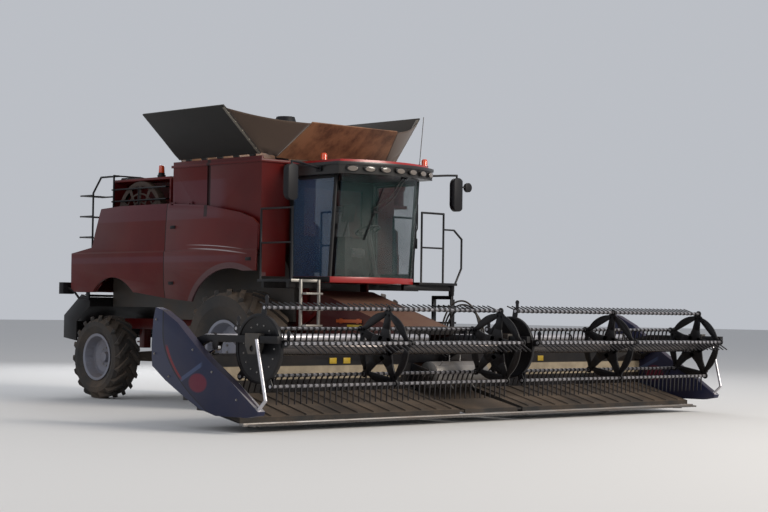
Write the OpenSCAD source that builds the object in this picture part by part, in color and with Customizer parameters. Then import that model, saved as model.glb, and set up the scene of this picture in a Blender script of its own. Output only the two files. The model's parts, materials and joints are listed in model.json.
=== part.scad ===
// Combine harvester with a wide draper header, standing with its grain tank covers open.
// Millimetres. X points forward, Y to the driver's left, Z up.
// The outlines are drawn with x = 0 at the front axle, then moved so that the origin lies on
// the ground under the middle of the whole machine.

/* [Running gear] */
// Distance between the front and the rear axle
wheelbase = 3680; // [3400:20:4000]
// Radius of a front tyre over its lugs
front_tyre_r = 930; // [850:10:1000]
// Width of a front tyre
front_tyre_w = 740; // [600:10:780]
// Sideways place of the middle of a front tyre
front_tyre_y = 1310; // [1280:10:1400]
// Radius of the seat of a front tyre on its rim
front_rim_r = 430; // [380:5:470]
// Radius of a rear tyre over its lugs
rear_tyre_r = 705; // [640:5:740]
// Width of a rear tyre
rear_tyre_w = 480; // [400:10:520]
// Sideways place of the middle of a rear tyre
rear_tyre_y = 1210; // [1180:10:1260]
// Radius of the seat of a rear tyre on its rim
rear_rim_r = 375; // [330:5:400]
// Height of the tread lugs
lug_h = 45; // [30:5:55]
// Lugs on each side of a tyre
lugs = 18; // [14:1:20]
// Sideways place of a steering pin
king_pin_y = 850; // [820:5:880]

/* [Body] */
// Outer face of the side panels
panel_y = 1520; // [1480:10:1560]
// Thickness of the side panels
panel_t = 36; // [25:1:45]
// Front edge of the side panels
panel_front_x = 640; // [600:10:680]
// Split between the front and the rear side panels
panel_split_x = -1690; // [-1800:10:-1600]
// Reach of the hood behind the rear axle
hood_overhang = 920; // [880:10:980]
// Lower edge of the side panels
panel_low_z = 1740; // [1700:10:1800]
// Upper edge of the side panels behind the split
panel_top_z = 3230; // [3180:10:3260]
// Radius of the front wheel arch
arch_r = 1230; // [1200:10:1260]
// Radius of the rear wheel arch
rear_arch_r = 800; // [760:10:840]

/* [Grain tank] */
// Outer face of the tank's side walls
tank_y = 1410; // [1380:10:1430]
// Front of the tank
tank_front_x = 620; // [580:10:640]
// Rear of the tank
tank_rear_x = -1610; // [-1700:10:-1560]
// Upper edge of the tank
tank_top_z = 3860; // [3780:10:3940]
// Thickness of the tank's walls
tank_wall = 30; // [20:1:40]
// Length of a side cover from its hinge
cover_l = 1030; // [900:10:1100]
// Length of the front and of the rear cover from its hinge
end_cover_l = 800; // [700:10:860]
// Lean of the open covers above the level
cover_lean = 42; // [30:1:60]
// Lean of the open left cover, which stands steeper
left_cover_lean = 54; // [30:1:60]
// Thickness of a cover
cover_t = 22; // [12:1:30]

/* [Cab] */
// Half width of the cab
cab_y = 880; // [840:5:920]
// Rear wall of the cab
cab_rear_x = 670; // [660:5:720]
// Front corners of the cab at the floor
cab_front_x = 1620; // [1560:10:1680]
// How far the windscreen bulges ahead of its corners
screen_bulge = 230; // [150:10:280]
// Top of the cab floor
cab_floor_z = 2060; // [2030:10:2100]
// Underside of the cab roof
cab_roof_z = 3600; // [3550:10:3650]
// Height of the cab roof
roof_h = 220; // [180:10:260]
// Thickness of the panes
glass_t = 8; // [5:1:10]

/* [Feeder] */
// Pivot of the feeder house, forward of the front axle
feeder_pivot_x = 950; // [930:10:1000]
// Height of the feeder pivot
feeder_pivot_z = 1550; // [1500:10:1580]
// Half width of the feeder house
feeder_y = 600; // [560:10:640]
// Front face of the feeder house
feeder_front_x = 2850; // [2800:10:2900]

/* [Header] */
// Reach of one half of the reel
reel_l = 4400; // [4000:50:4600]
// Gap between the two halves of the reel
reel_gap = 260; // [240:5:300]
// Place of the reel axis, forward of the front axle
reel_x = 4360; // [4300:10:4420]
// Height of the reel axis
reel_z = 1060; // [1040:5:1100]
// Radius of the circle of the bats
bat_circle_r = 521; // [500:5:535]
// Radius of a bat's tube
bat_r = 21; // [16:1:26]
// Length of a tine from the middle of its bat
tine_l = 230; // [200:5:250]
// Distance between two tines
tine_pitch = 100; // [80:5:130]
// Place of the uppermost bat on the reel
bat_start = 80; // [70:1:90]
// Thickness of the end shields
shield_t = 120; // [90:5:140]
// Front edge of the knife bar
knife_x = 4290; // [4250:10:4320]
// Distance between two knife guards
guard_pitch = 76.2; // [70:0.1:90]

/* [Hidden] */
$fn = 48;

// Gap between faces that only just meet
seat_gap = 0.3;
// Play round a pin or a shaft in its bore
pin_gap = 0.3;
// Gap round a part that turns or slides past another
run_gap = 8;
bats = 5;
bat_angles = [for (i = [0 : bats - 1]) bat_start - i * 360 / bats];
// Direction of each bat's tines, up from straight ahead
tine_dirs = [162, -30, -92, -112, -100];
tine_t = 16;
// How far ahead of the reel's axis the tines of each bat reach
bat_reach = [for (i = [0 : bats - 1]) bat_circle_r * cos(bat_angles[i])
    + tine_l * cos(tine_dirs[i]) + tine_t / 2 * abs(sin(tine_dirs[i]))];
// Ends of the whole machine
hood_rear_x = -wheelbase - hood_overhang;
front_x = reel_x + max(bat_reach);
spreader_rear_x = hood_rear_x - 430;
centre_x = (front_x + spreader_rear_x) / 2;

red = [0.55, 0.07, 0.06];
black = [0.06, 0.06, 0.065];
grey = [0.5, 0.5, 0.5];
silver = [0.7, 0.71, 0.72];
tan_brown = [0.42, 0.34, 0.26];
rubber = [0.05, 0.05, 0.05];
pane = [0.45, 0.6, 0.6, 0.4];

// Moves the drawn machine so that the origin is under its middle
module placed() translate([-centre_x, 0, 0]) children();

// Extrudes an outline drawn in x and z, between two sideways places
module across(from, to) translate([0, to, 0]) rotate([90, 0, 0]) linear_extrude(to - from) children();

// Extrudes an outline drawn in y and z, between two places along the machine
module along(from, to) translate([from, 0, 0]) rotate([90, 0, 90]) linear_extrude(to - from) children();

// Block between two corners
module block(low, high) translate(low) cube(high - low);

// Both sides of the machine
module both_sides() {
    children();
    mirror([0, 1, 0]) children();
}

// Round bar between two points
module bar(a, b, r) {
    d = b - a;
    translate(a) rotate([0, acos(d[2] / norm(d)), atan2(d[1], d[0])]) cylinder(h = norm(d), r = r, $fn = 24);
}

// Bent tube through a short list of points
weld_h = 0.8;
module tube_run(points, r) {
    for (i = [0 : len(points) - 2]) bar(points[i], points[i + 1], r);
    // Each bend stands a little proud of the tube, like a weld
    for (i = [1 : 1 : len(points) - 2]) translate(points[i]) sphere(r = r + weld_h, $fn = 24);
}

// Shaft or bore across the machine, between two sideways places
module cross_shaft(x, z, r, from, to) translate([x, to, z]) rotate([90, 0, 0]) cylinder(h = to - from, r = r);

// Tyres and rims

// Width of the beads as a share of the tyre's width
bead_share = 0.76;
// Carcass and two rows of slanted lugs, standing on its side with the outer face up
module tyre(r, w, rim_r) {
    carcass_r = r - lug_h;
    bead_w = w * bead_share;
    lug_l = w * 0.62;
    lug_w = 2 * PI * r / lugs * 0.24;
    rotate_extrude($fn = 72) polygon([
        [rim_r, -bead_w / 2], [rim_r + 28, -bead_w / 2], [(rim_r + carcass_r) / 2, -w / 2],
        [carcass_r - 60, -w / 2 + 6], [carcass_r - 18, -w / 2 + 60], [carcass_r, -w / 5],
        [carcass_r, w / 5], [carcass_r - 18, w / 2 - 60], [carcass_r - 60, w / 2 - 6],
        [(rim_r + carcass_r) / 2, w / 2], [rim_r + 28, bead_w / 2], [rim_r, bead_w / 2]]);
    intersection() {
        union() for (side = [-1, 1], i = [0 : lugs - 1])
            rotate([0, 0, (i + (side + 1) / 4) * 360 / lugs])
            translate([(carcass_r - 70 + r) / 2, 0, side * w * 0.25])
            rotate([side * 48, 0, 0])
            cube([r - carcass_r + 90, lug_w, lug_l], center = true);
        rotate_extrude($fn = 72) polygon([
            [carcass_r - 90, -w / 2 + 1], [r - 70, -w / 2 + 1], [r - 12, -w / 2 + 30], [r, -w / 5],
            [r, w / 5], [r - 12, w / 2 - 30], [r - 70, w / 2 - 1], [carcass_r - 90, w / 2 - 1]]);
    }
}

// Dished rim with its disc and hub, the disc's inner face at the height disc_at
module rim(rim_r, w, disc_at, hub_r) {
    half = w * bead_share / 2 + 16;
    edge = rim_r + 22;
    rotate_extrude($fn = 72) polygon([
        [rim_r - seat_gap, -half + 15], [edge, -half + 12], [edge, -half - 6], [rim_r - 26, -half],
        [rim_r - 60, -half * 0.5], [rim_r - 62, disc_at], [hub_r + 70, disc_at], [hub_r + 50, disc_at],
        [0, disc_at], [0, disc_at + 18], [hub_r + 60, disc_at + 18], [hub_r + 150, disc_at + 60],
        [rim_r - 62, disc_at + 48], [rim_r - 26, half], [edge, half + 6], [edge, half - 12],
        [rim_r - seat_gap, half - 15], [rim_r - seat_gap, half * 0.4], [rim_r - 34, half * 0.3],
        [rim_r - 34, -half * 0.3], [rim_r - seat_gap, -half * 0.4]]);
    translate([0, 0, disc_at + 17]) cylinder(h = 70, r = hub_r * 0.8);
}

// Turns a wheel drawn flat to stand at x, y, z; side is 1 on the left and -1 on the right
module wheel_at(x, y, z, side) translate([x, side * y, z]) rotate([-90 * side, 0, 0]) children();

front_disc_at = 40;
rear_disc_at = -20;
front_hub_r = 130;
rear_hub_r = 105;
module front_tyre(side) color(rubber) placed()
    wheel_at(0, front_tyre_y, front_tyre_r, side) tyre(front_tyre_r, front_tyre_w, front_rim_r);
module rear_tyre(side) color(rubber) placed()
    wheel_at(-wheelbase, rear_tyre_y, rear_tyre_r, side) tyre(rear_tyre_r, rear_tyre_w, rear_rim_r);
module front_rim(side) color(silver) placed()
    wheel_at(0, front_tyre_y, front_tyre_r, side)
    rim(front_rim_r, front_tyre_w, front_disc_at, front_hub_r);
module rear_rim(side) color(silver) placed()
    wheel_at(-wheelbase, rear_tyre_y, rear_tyre_r, side)
    rim(rear_rim_r, rear_tyre_w, rear_disc_at, rear_hub_r);

// Chassis, axles and steering

rail_y = 400;
rail_w = 110;
rail_low = 1180;
rail_top = 1360;
frame_rear_x = hood_rear_x + 360;
ear_x = feeder_pivot_x;
ear_y = feeder_y + run_gap;
ear_t = 45;
feeder_pin_r = 60;
ear_top = feeder_pivot_z + 120;
core_front_x = 600;
hitch_x = frame_rear_x;
hitch_z = 900;
hitch_pin_r = 16;
module chassis() color(red) placed() {
    both_sides() {
        block([frame_rear_x, rail_y - rail_w / 2, rail_low], [core_front_x, rail_y + rail_w / 2, rail_top]);
        difference() {
            across(ear_y, ear_y + ear_t) polygon([
                [250, rail_low], [480, rail_low], [ear_x + 90, feeder_pivot_z - 90],
                [ear_x + 120, feeder_pivot_z], [ear_x + 70, feeder_pivot_z + 100],
                [ear_x - 60, ear_top], [core_front_x + seat_gap, ear_top],
                [core_front_x + seat_gap, rail_top], [250, rail_top]]);
            cross_shaft(ear_x, feeder_pivot_z, feeder_pin_r + pin_gap, ear_y - 1, ear_y + ear_t + 1);
        }
        block([250, rail_y, rail_low], [400, ear_y + ear_t, rail_top]);
    }
    for (x = [frame_rear_x + 80, -wheelbase, -2000, 200])
        block([x - 60, -rail_y, rail_low + 20], [x + 60, rail_y, rail_top - 20]);
    // Pedestal of the rear axle
    block([-wheelbase - 150, -120, rear_tyre_r + 90 + seat_gap], [-wheelbase + 150, 120, rail_low + 30]);
    // Saddles on the front axle
    both_sides() block([-120, rail_y - rail_w / 2, front_tyre_r + 120], [120, rail_y + 90, rail_low + 1]);
    // Towing clevis at the rear
    difference() {
        union() {
            block([hitch_x - 60, -70, hitch_z - 60], [hitch_x + 80, 70, rail_low + 30]);
            block([hitch_x - 160, -50, hitch_z - 60], [hitch_x, 50, hitch_z - 30]);
            block([hitch_x - 160, -50, hitch_z + 30], [hitch_x, 50, hitch_z + 60]);
        }
        translate([hitch_x - 110, 0, hitch_z - 70]) cylinder(h = 140, r = hitch_pin_r);
    }
}

hub_face_front = front_tyre_y + front_disc_at - seat_gap;
module front_axle() color(grey) placed() {
    block([-120, -780, front_tyre_r - 110], [120, 780, front_tyre_r + 120 - seat_gap]);
    translate([0, 300, front_tyre_r]) rotate([90, 0, 0]) cylinder(h = 600, r = 190);
    both_sides() {
        hull() {
            cross_shaft(0, front_tyre_r, 270, 700, 860);
            cross_shaft(0, front_tyre_r + 90, 220, 700, 860);
        }
        cross_shaft(0, front_tyre_r, 200, 859, 1010);
        cross_shaft(0, front_tyre_r, front_hub_r, 1009, hub_face_front);
        // Bracket of the lift cylinder
        for (y = [lift_y - lug_out, lift_y + lug_in]) difference() {
            across(y, y + lug_out - lug_in) polygon([[60, front_tyre_r - 120],
                [lift_base[0] + 55, lift_base[1] - 60],
                [lift_base[0] + 60, lift_base[1] + 55], [60, front_tyre_r + 60]]);
            cross_shaft(lift_base[0], lift_base[1], lift_pin_r + pin_gap, y - 1, y + 31);
        }
    }
}

pin_r = 34;
yoke_h = 150;
module rear_axle() color(grey) placed() {
    hull() {
        block([-wheelbase - 90, -700, rear_tyre_r - 70], [-wheelbase + 90, 700, rear_tyre_r + 70]);
        block([-wheelbase - 120, -180, rear_tyre_r - 90], [-wheelbase + 120, 180, rear_tyre_r + 90]);
    }
    both_sides() difference() {
        block([-wheelbase - 55, 690, rear_tyre_r - 65], [-wheelbase + 55, king_pin_y + 45, rear_tyre_r + 65]);
        translate([-wheelbase, king_pin_y, rear_tyre_r - 100]) cylinder(h = 200, r = pin_r + pin_gap);
    }
}

hub_face_rear = rear_tyre_y + rear_disc_at - seat_gap;
module knuckle(side) color(grey) placed() scale([1, side, 1]) translate([-wheelbase, 0, rear_tyre_r]) {
    translate([0, king_pin_y, -yoke_h]) cylinder(h = 2 * yoke_h, r = pin_r);
    for (z = [-yoke_h, 65 + run_gap])
        block([-62, king_pin_y - 60, z], [62, king_pin_y + 130, z + yoke_h - 65 - run_gap]);
    block([-62, king_pin_y + 76, -yoke_h], [62, king_pin_y + 130, yoke_h]);
    rotate([-90, 0, 0]) translate([0, 0, king_pin_y + 100])
        cylinder(h = hub_face_rear - king_pin_y - 100, r = rear_hub_r);
}

// Body

core_y = 700;
core_top = 2300;
module separator_housing() color(grey) placed() {
    across(-core_y, core_y) polygon([
        [core_front_x, rail_top + seat_gap], [core_front_x, 1980], [300, tank_low_z - seat_gap],
        [tank_rear_x + 300, tank_low_z - seat_gap], [tank_rear_x, core_top], [frame_rear_x, core_top],
        [frame_rear_x, 1560], [-3000, 1560], [-2900, rail_top + seat_gap]]);
    // Cleaning shoe between the rails
    across(-rail_y + rail_w / 2 + seat_gap, rail_y - rail_w / 2 - seat_gap) polygon([
        [120, rail_low + 240], [-200, 1010], [-640, 980], [-640, 1100], [-800, 1100], [-1500, 900],
        [-1900, 1060], [-1900, rail_low + 240]]);
}

engine_low = 2520;
module engine() color(grey) placed()
    block([-2780, box_in_y + 30, engine_low], [-1900, 550, engine_low + 640]);

// Rear edge of the hood's top
hood_top_rear_x = hood_rear_x + 1050;
deck_z = 3180;
deck_top = deck_z + 30;
deck_y = panel_y - 64 - panel_t - 1;
box_rear_x = hood_top_rear_x + 10;
box_front_x = -1910;
box_out_y = -1229;
box_in_y = -381;
box_top = 3710;
box_wall = 40;
box_low = core_top + 100;
radiator_y = -760;
screen_x = (box_rear_x + box_front_x) / 2;
screen_z = (box_low + box_top - box_wall) / 2;
screen_r = (box_top - box_wall - box_low) / 2 - 15;
screen_depth = 130;
screen_in_y = box_out_y + 100;
module cooling_housing() color(red) placed() {
    difference() {
        union() {
            // Deck over the engine
            block([hood_top_rear_x + seat_gap, -deck_y, deck_z], [tank_rear_x - seat_gap, deck_y, deck_top]);
            block([box_rear_x, box_out_y, core_top + seat_gap], [box_front_x, box_in_y, box_top]);
        }
        // Round mouth of the screen, ahead of the radiator
        block([box_rear_x + box_wall, box_out_y - 45, box_low],
            [box_front_x - box_wall, radiator_y, box_top - box_wall]);
    }
    // Stack of the exhaust and the air filter
    translate([-1790, -640, deck_top - 1]) cylinder(h = 530, r = 75);
    translate([-2560, 420, deck_top - 1]) cylinder(h = 300, r = 190);
    // Cradle of the engine
    both_sides() block([-3300, 560, engine_low - 20], [-2000, 620, deck_z + 1]);
    block([-3300, -620, core_top + seat_gap], [-2000, 620, engine_low - seat_gap]);
}

module air_screen() color(black) placed() {
    translate([screen_x, screen_in_y, screen_z]) rotate([90, 0, 0]) {
        difference() {
            cylinder(h = screen_depth, r = screen_r, $fn = 72);
            translate([0, 0, -1]) cylinder(h = screen_depth - 5, r = screen_r - 8, $fn = 72);
            for (ring = [0 : 2], i = [0 : 11]) rotate([0, 0, 30 * i + 4])
                rotate_extrude(angle = 22) translate([150 + ring * 140, screen_depth - 20]) square([110, 40]);
        }
        cylinder(h = screen_depth, r = 60);
        translate([0, 0, screen_in_y - radiator_y + seat_gap]) cylinder(h = radiator_y - screen_in_y, r = 30);
    }
}

tank_low_z = 2420;
outlet_x = 380;
groove_x = -680;
groove_w = 80;
groove_depth = 20;
fascia_t = 20;
fascia_low_z = 2060;
hinge_r = 18;
side_seat_z = tank_top_z + 2 * cover_t + 1;
module grain_tank() color(red) placed() {
    difference() {
        union() {
            across(-tank_y, tank_y) polygon([[tank_rear_x, tank_low_z + 500], [tank_rear_x + 300, tank_low_z],
                [tank_front_x - 200, tank_low_z], [tank_front_x, tank_low_z + 200],
                [tank_front_x, tank_top_z], [tank_rear_x, tank_top_z]]);
            // Rolled upper edge
            block([tank_rear_x - 25, -tank_y - 25, tank_top_z - 50],
                [tank_front_x + 25, tank_y + 25, tank_top_z - 10]);
            // Strips that carry the side covers above the end covers
            both_sides() block([tank_rear_x, tank_y - tank_wall, tank_top_z - 1],
                [tank_front_x, tank_y, side_seat_z]);
            // Hinge lugs and pins of the side panels
            both_sides() for (x = panel_hinges) {
                block([x - 22, tank_y - 1, panel_hinge_z - 12],
                    [x + 22, panel_hinge_y + 12, panel_hinge_z + 12]);
                translate([x - 46, panel_hinge_y, panel_hinge_z]) rotate([0, 90, 0])
                    cylinder(h = 92, r = panel_pin_r);
            }
            // Front wall down to the platforms
            both_sides() block([tank_front_x - fascia_t, cab_y + 30, fascia_low_z],
                [tank_front_x, tank_y, tank_low_z + 220]);
            // Outlet to the unloading auger
            block([outlet_x - 170, tank_y - 1, panel_top_z + 5],
                [outlet_x + 170, auger_y + 120, panel_top_z + 60 - seat_gap]);
        }
        across(-tank_y + tank_wall, tank_y - tank_wall) polygon([
            [tank_rear_x + tank_wall, tank_low_z + 510], [tank_rear_x + 315, tank_low_z + tank_wall],
            [tank_front_x - 215, tank_low_z + tank_wall], [tank_front_x - tank_wall, tank_low_z + 215],
            [tank_front_x - tank_wall, tank_top_z + 1], [tank_rear_x + tank_wall, tank_top_z + 1]]);
        // Groove where the wall's two sheets meet
        both_sides() block([groove_x - groove_w / 2, tank_y - groove_depth, panel_top_z - 150],
            [groove_x + groove_w / 2, tank_y + 1, tank_top_z - 49]);
    }
}

fill_x = (tank_front_x + tank_rear_x) / 2;
fill_top_z = 4690;
module fill_auger() color(black) placed() translate([fill_x, 0, 0]) {
    translate([0, 0, tank_low_z + tank_wall + seat_gap]) cylinder(h = fill_top_z - tank_low_z - tank_wall - 160, r = 160);
    translate([0, 0, fill_top_z - 161]) cylinder(h = 160, r1 = 200, r2 = 150);
}

// Side view of the machine behind the front edge of its side panels
hood_step_z = 2430;
module side_outline() polygon([
    [hood_rear_x + 430, panel_low_z + 60], [hood_rear_x + 330, panel_low_z + 70],
    [hood_rear_x + 90, 1990], [hood_rear_x, 2290], [hood_rear_x + 10, hood_step_z],
    [hood_rear_x + 850, hood_step_z + 130], [hood_top_rear_x, panel_top_z - 20],
    [-3000, panel_top_z + 10], [panel_split_x, panel_top_z + 10], [-660, panel_top_z - 50],
    [200, panel_top_z - 190], [500, panel_top_z - 280], [panel_front_x, panel_top_z - 380],
    [panel_front_x, 2140], [0, 2140], [-900, panel_low_z - 90], [panel_split_x, panel_low_z - 30],
    [-2500, panel_low_z + 60]]);

// Cross section of one side wall, curved outwards, with its crease
module wall_section(t) polygon([
    [panel_y - 60, panel_low_z - 120], [panel_y - 14, 1900], [panel_y, 2200], [panel_y, 2450],
    [panel_y - 22, 2480], [panel_y - 30, 2800], [panel_y - 50, 3120], [panel_y - 64, panel_top_z + 20],
    [panel_y - 64 - t, panel_top_z + 20], [panel_y - 50 - t, 3110], [panel_y - 30 - t, 2800],
    [panel_y - 22 - t, 2480], [panel_y - t, 2450], [panel_y - t, 2200], [panel_y - 14 - t, 1900],
    [panel_y - 60 - t, panel_low_z - 120]]);

panel_hinge_y = panel_y - 64 - panel_t / 2;
panel_hinge_z = panel_top_z + 10;
panel_hinges = [-1560, -1100];
panel_pin_r = 8;
module side_panel() color(red) placed() {
    difference() {
        intersection() {
            along(panel_split_x + 5, panel_front_x) wall_section(panel_t);
            across(panel_y - 400, panel_y + 10) side_outline();
        }
        cross_shaft(0, 950, arch_r, panel_y - 400, panel_y + 10);
        // Room for the tank's hinge lugs
        for (x = panel_hinges) {
            block([x - 30, panel_y - 200, panel_hinge_z - 30], [x + 30, panel_y, panel_hinge_z + 30]);
            block([x - 50, panel_y - 200, panel_hinge_z - 14], [x + 50, panel_y, panel_hinge_z + 30]);
        }
    }
    for (x = panel_hinges, s = [-1, 1]) difference() {
        block([x + s * 38 - 8, panel_hinge_y - 11, panel_hinge_z - 50],
            [x + s * 38 + 8, panel_hinge_y + 11, panel_hinge_z + 14]);
        translate([x + s * 38 - 9, panel_hinge_y, panel_hinge_z]) rotate([0, 90, 0])
            cylinder(h = 18, r = panel_pin_r + pin_gap);
    }
}

module rear_hood() color(red) placed() {
    difference() {
        intersection() {
            union() {
                both_sides() along(hood_rear_x - 10, panel_split_x) wall_section(panel_t);
                along(hood_rear_x - 10, hood_top_rear_x)
                    polygon([[-panel_y + 70, panel_low_z], [panel_y - 70, panel_low_z],
                             [panel_y - 70, panel_top_z + 20], [-panel_y + 70, panel_top_z + 20]]);
            }
            across(-panel_y - 10, panel_y + 10) side_outline();
        }
        // Hollow under the hood
        across(-panel_y + 70 + panel_t, panel_y - 70 - panel_t) polygon([
            [frame_rear_x - 5, panel_low_z - 10], [frame_rear_x - 5, panel_low_z + 90],
            [hood_rear_x + 135, 2000], [hood_rear_x + 50, 2290], [hood_rear_x + 60, hood_step_z - 42],
            [hood_rear_x + 890, hood_step_z + 92], [hood_top_rear_x + 1, 3020],
            [hood_top_rear_x + 1, panel_low_z - 10]]);
        cross_shaft(-wheelbase + 550, 1250, rear_arch_r, -panel_y - 10, panel_y + 10);
        // Corners rounded off at the rear
        both_sides() translate([hood_rear_x - 11, panel_y - 260, 0]) linear_extrude(4000)
            polygon([[0, 0], [0, 300], [330, 300], [120, 120]]);
    }
}

disc_x = hood_rear_x - 90;
module spreader_housing() color(black) placed() {
    difference() {
        across(-1180, 1180) polygon([
            [frame_rear_x - seat_gap, panel_low_z - 20], [hood_rear_x + 100, panel_low_z + 30],
            [spreader_rear_x, 1400], [spreader_rear_x, 1010], [hood_rear_x - 40, 960],
            [hood_rear_x - 40, 1300], [frame_rear_x - seat_gap, 1560]]);
        across(-1150, 1150) polygon([
            [frame_rear_x - 30, panel_low_z + 31], [hood_rear_x + 110, panel_low_z + 31],
            [hood_rear_x + 110, panel_low_z - 5], [spreader_rear_x + 30, 1384], [spreader_rear_x + 30, 950],
            [hood_rear_x - 39, 950], [hood_rear_x - 39, 1338], [frame_rear_x - 30, 1577]]);
    }
    // Two discs that throw the straw
    both_sides() translate([disc_x, 560, 1040]) cylinder(h = 40, r = 320);
    both_sides() translate([disc_x, 560, 1040]) cylinder(h = 580, r = 60);
}

// Cab

front_r = (cab_y * cab_y + screen_bulge * screen_bulge) / (2 * screen_bulge);
screen_lean = 5;
screen_shift = (cab_roof_z - cab_floor_z) * tan(screen_lean);
// Outline of the cab seen from above, with the front arc of the windscreen, grown by d
module cab_plan(d) {
    c = cab_front_x + screen_bulge - front_r;
    intersection() {
        translate([cab_rear_x - d, -cab_y - d]) square([3000, 2 * (cab_y + d)]);
        translate([c, 0]) circle(r = front_r + d, $fn = 96);
    }
}

// Outline of the roof, moved forward by the lean of the windscreen
roof_side = 110;
roof_nose = 90;
roof_c_x = cab_front_x + screen_bulge - front_r + screen_shift + roof_nose;
roof_rear_x = cab_rear_x - 10;
module roof_plan(d) intersection() {
    translate([roof_rear_x, -cab_y - d]) square([3000, 2 * (cab_y + d)]);
    translate([roof_c_x, 0]) circle(r = front_r + d, $fn = 96);
}

pillar = 60;
module cab_frame() color(red) placed() {
    // Floor pan
    translate([0, 0, cab_floor_z - 90]) linear_extrude(90) cab_plan(0);
    // Rear wall with its window
    difference() {
        block([cab_rear_x, -cab_y, cab_floor_z - 1], [cab_rear_x + 40, cab_y, cab_roof_z]);
        block([cab_rear_x - 1, -620, 2700], [cab_rear_x + 41, 620, 3450]);
    }
    // Pillars
    both_sides() {
        bar([cab_front_x - 40, cab_y - pillar / 2, cab_floor_z - 10],
            [cab_front_x + 80, cab_y - pillar / 2, cab_roof_z - 6], pillar / 2);
        block([cab_rear_x, cab_y - pillar, cab_floor_z - 1], [cab_rear_x + pillar + 20, cab_y, cab_roof_z]);
    }
    // Rails under the roof
    both_sides() block([cab_rear_x, cab_y - pillar, cab_roof_z - 50], [cab_front_x + 60, cab_y, cab_roof_z]);
    // Hinge pins of the door
    block([door_hinge_x - 15, cab_y - 1, door_low - 40],
        [door_hinge_x + 40, cab_y + 46, door_low - seat_gap]);
    block([door_hinge_x - 15, cab_y - 1, door_top + seat_gap], [door_hinge_x + 40, cab_y + 46, cab_roof_z]);
    for (z = [door_low - 10, door_top - 45]) translate([door_hinge_x, door_hinge_y, z])
        cylinder(h = 50, r = door_pin_r);
    // Posts that stand on the chassis
    both_sides() block([cab_rear_x + 20, ear_y, ear_top + seat_gap],
        [cab_rear_x + 180, ear_y + ear_t, cab_floor_z - 89]);
}

// Work lamps along the front of the roof, by their angle from the middle
lamp_step = 8.4;
lamp_h = 80;
// Beacons, by their place in x and y
beacons = [[1380, -820], [1800, 920]];
beacon_h = 95;
module work_lamp() rotate([0, 90, 0]) linear_extrude(60) {
    square([lamp_h, lamp_h], center = true);
    for (s = [-1, 1]) translate([0, s * lamp_h / 2]) circle(d = lamp_h);
}
module cab_roof() color(black) placed() {
    translate([0, 0, cab_roof_z + seat_gap]) linear_extrude(roof_h * 0.62) roof_plan(roof_side);
    translate([0, 0, cab_roof_z + roof_h * 0.6]) linear_extrude(roof_h * 0.22) roof_plan(roof_side + 20);
    translate([0, 0, cab_roof_z + roof_h * 0.8]) linear_extrude(roof_h * 0.2) roof_plan(roof_side - 60);
    for (i = [-3 : 3]) translate([roof_c_x, 0, cab_roof_z + roof_h * 0.33]) rotate([0, 0, i * lamp_step])
        translate([front_r + roof_side - 30, 0, 0]) work_lamp();
    for (b = beacons) translate([b[0], b[1], cab_roof_z + roof_h * 0.6]) {
        cylinder(h = roof_h * 0.4 + 15, r = 62);
        cylinder(h = roof_h * 0.4 + beacon_h, r = 48);
        translate([0, 0, roof_h * 0.4 + beacon_h - 1]) cylinder(h = 25, r1 = 48, r2 = 34);
    }
    // Aerial on its foot
    translate([1780, 830, cab_roof_z + roof_h - 5]) cylinder(h = 40, r = 20);
    bar([1780, 830, cab_roof_z + roof_h + 15], [1810, 880, 4600], 6);
}

module cab_glass() color(pane) placed() {
    // Windscreen, bent round the front
    intersection() {
        translate([cab_front_x + screen_bulge - front_r, 0, cab_floor_z + 20]) rotate([0, screen_lean, 0])
            difference() {
                translate([0, 0, -200]) cylinder(h = 2000, r = front_r - 4, $fn = 96);
                translate([0, 0, -201]) cylinder(h = 2002, r = front_r - 4 - glass_t, $fn = 96);
            }
        block([cab_front_x - 30, -cab_y + pillar + 10, cab_floor_z + seat_gap],
              [cab_front_x + 600, cab_y - pillar - 10, cab_roof_z - seat_gap]);
    }
    // Right side pane
    across(-cab_y + 20, -cab_y + 20 + glass_t) polygon([
        [cab_rear_x + 80 + seat_gap, cab_floor_z + seat_gap], [cab_front_x - 75, cab_floor_z + seat_gap],
        [cab_front_x + 43, cab_roof_z - 50 - seat_gap],
            [cab_rear_x + 80 + seat_gap, cab_roof_z - 50 - seat_gap]]);
    // Rear pane
    block([cab_rear_x + 16, -620 + seat_gap, 2700 + seat_gap],
        [cab_rear_x + 16 + glass_t, 620 - seat_gap, 3450 - seat_gap]);
}

module cab_interior() color(black) placed() {
    seat_x = 1050;
    // Seat
    block([seat_x - 200, -180, cab_floor_z + seat_gap], [seat_x + 160, 180, cab_floor_z + 330]);
    block([seat_x - 260, -250, cab_floor_z + 329], [seat_x + 240, 250, cab_floor_z + 450]);
    across(-240, 240) polygon([[seat_x - 240, cab_floor_z + 440], [seat_x - 110, cab_floor_z + 440],
        [seat_x - 190, cab_floor_z + 1120], [seat_x - 300, cab_floor_z + 1120]]);
    // Right hand console
    block([seat_x - 150, -440, cab_floor_z + seat_gap], [seat_x + 420, -290, cab_floor_z + 620]);
    // Steering column and wheel
    bar([seat_x + 620, 0, cab_floor_z + seat_gap + 40], [seat_x + 460, 0, cab_floor_z + 720], 45);
    block([seat_x + 560, -60, cab_floor_z + seat_gap], [seat_x + 680, 60, cab_floor_z + 60]);
    translate([seat_x + 455, 0, cab_floor_z + 730]) rotate([0, -20, 0]) {
        rotate_extrude($fn = 48) translate([190, 0]) circle(r = 16, $fn = 16);
        translate([0, 0, -45]) cylinder(h = 50, r = 40);
        for (a = [0, 120, 240]) rotate([0, 0, a]) bar([25, 0, -15], [185, 0, 0], 11);
    }
}

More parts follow.
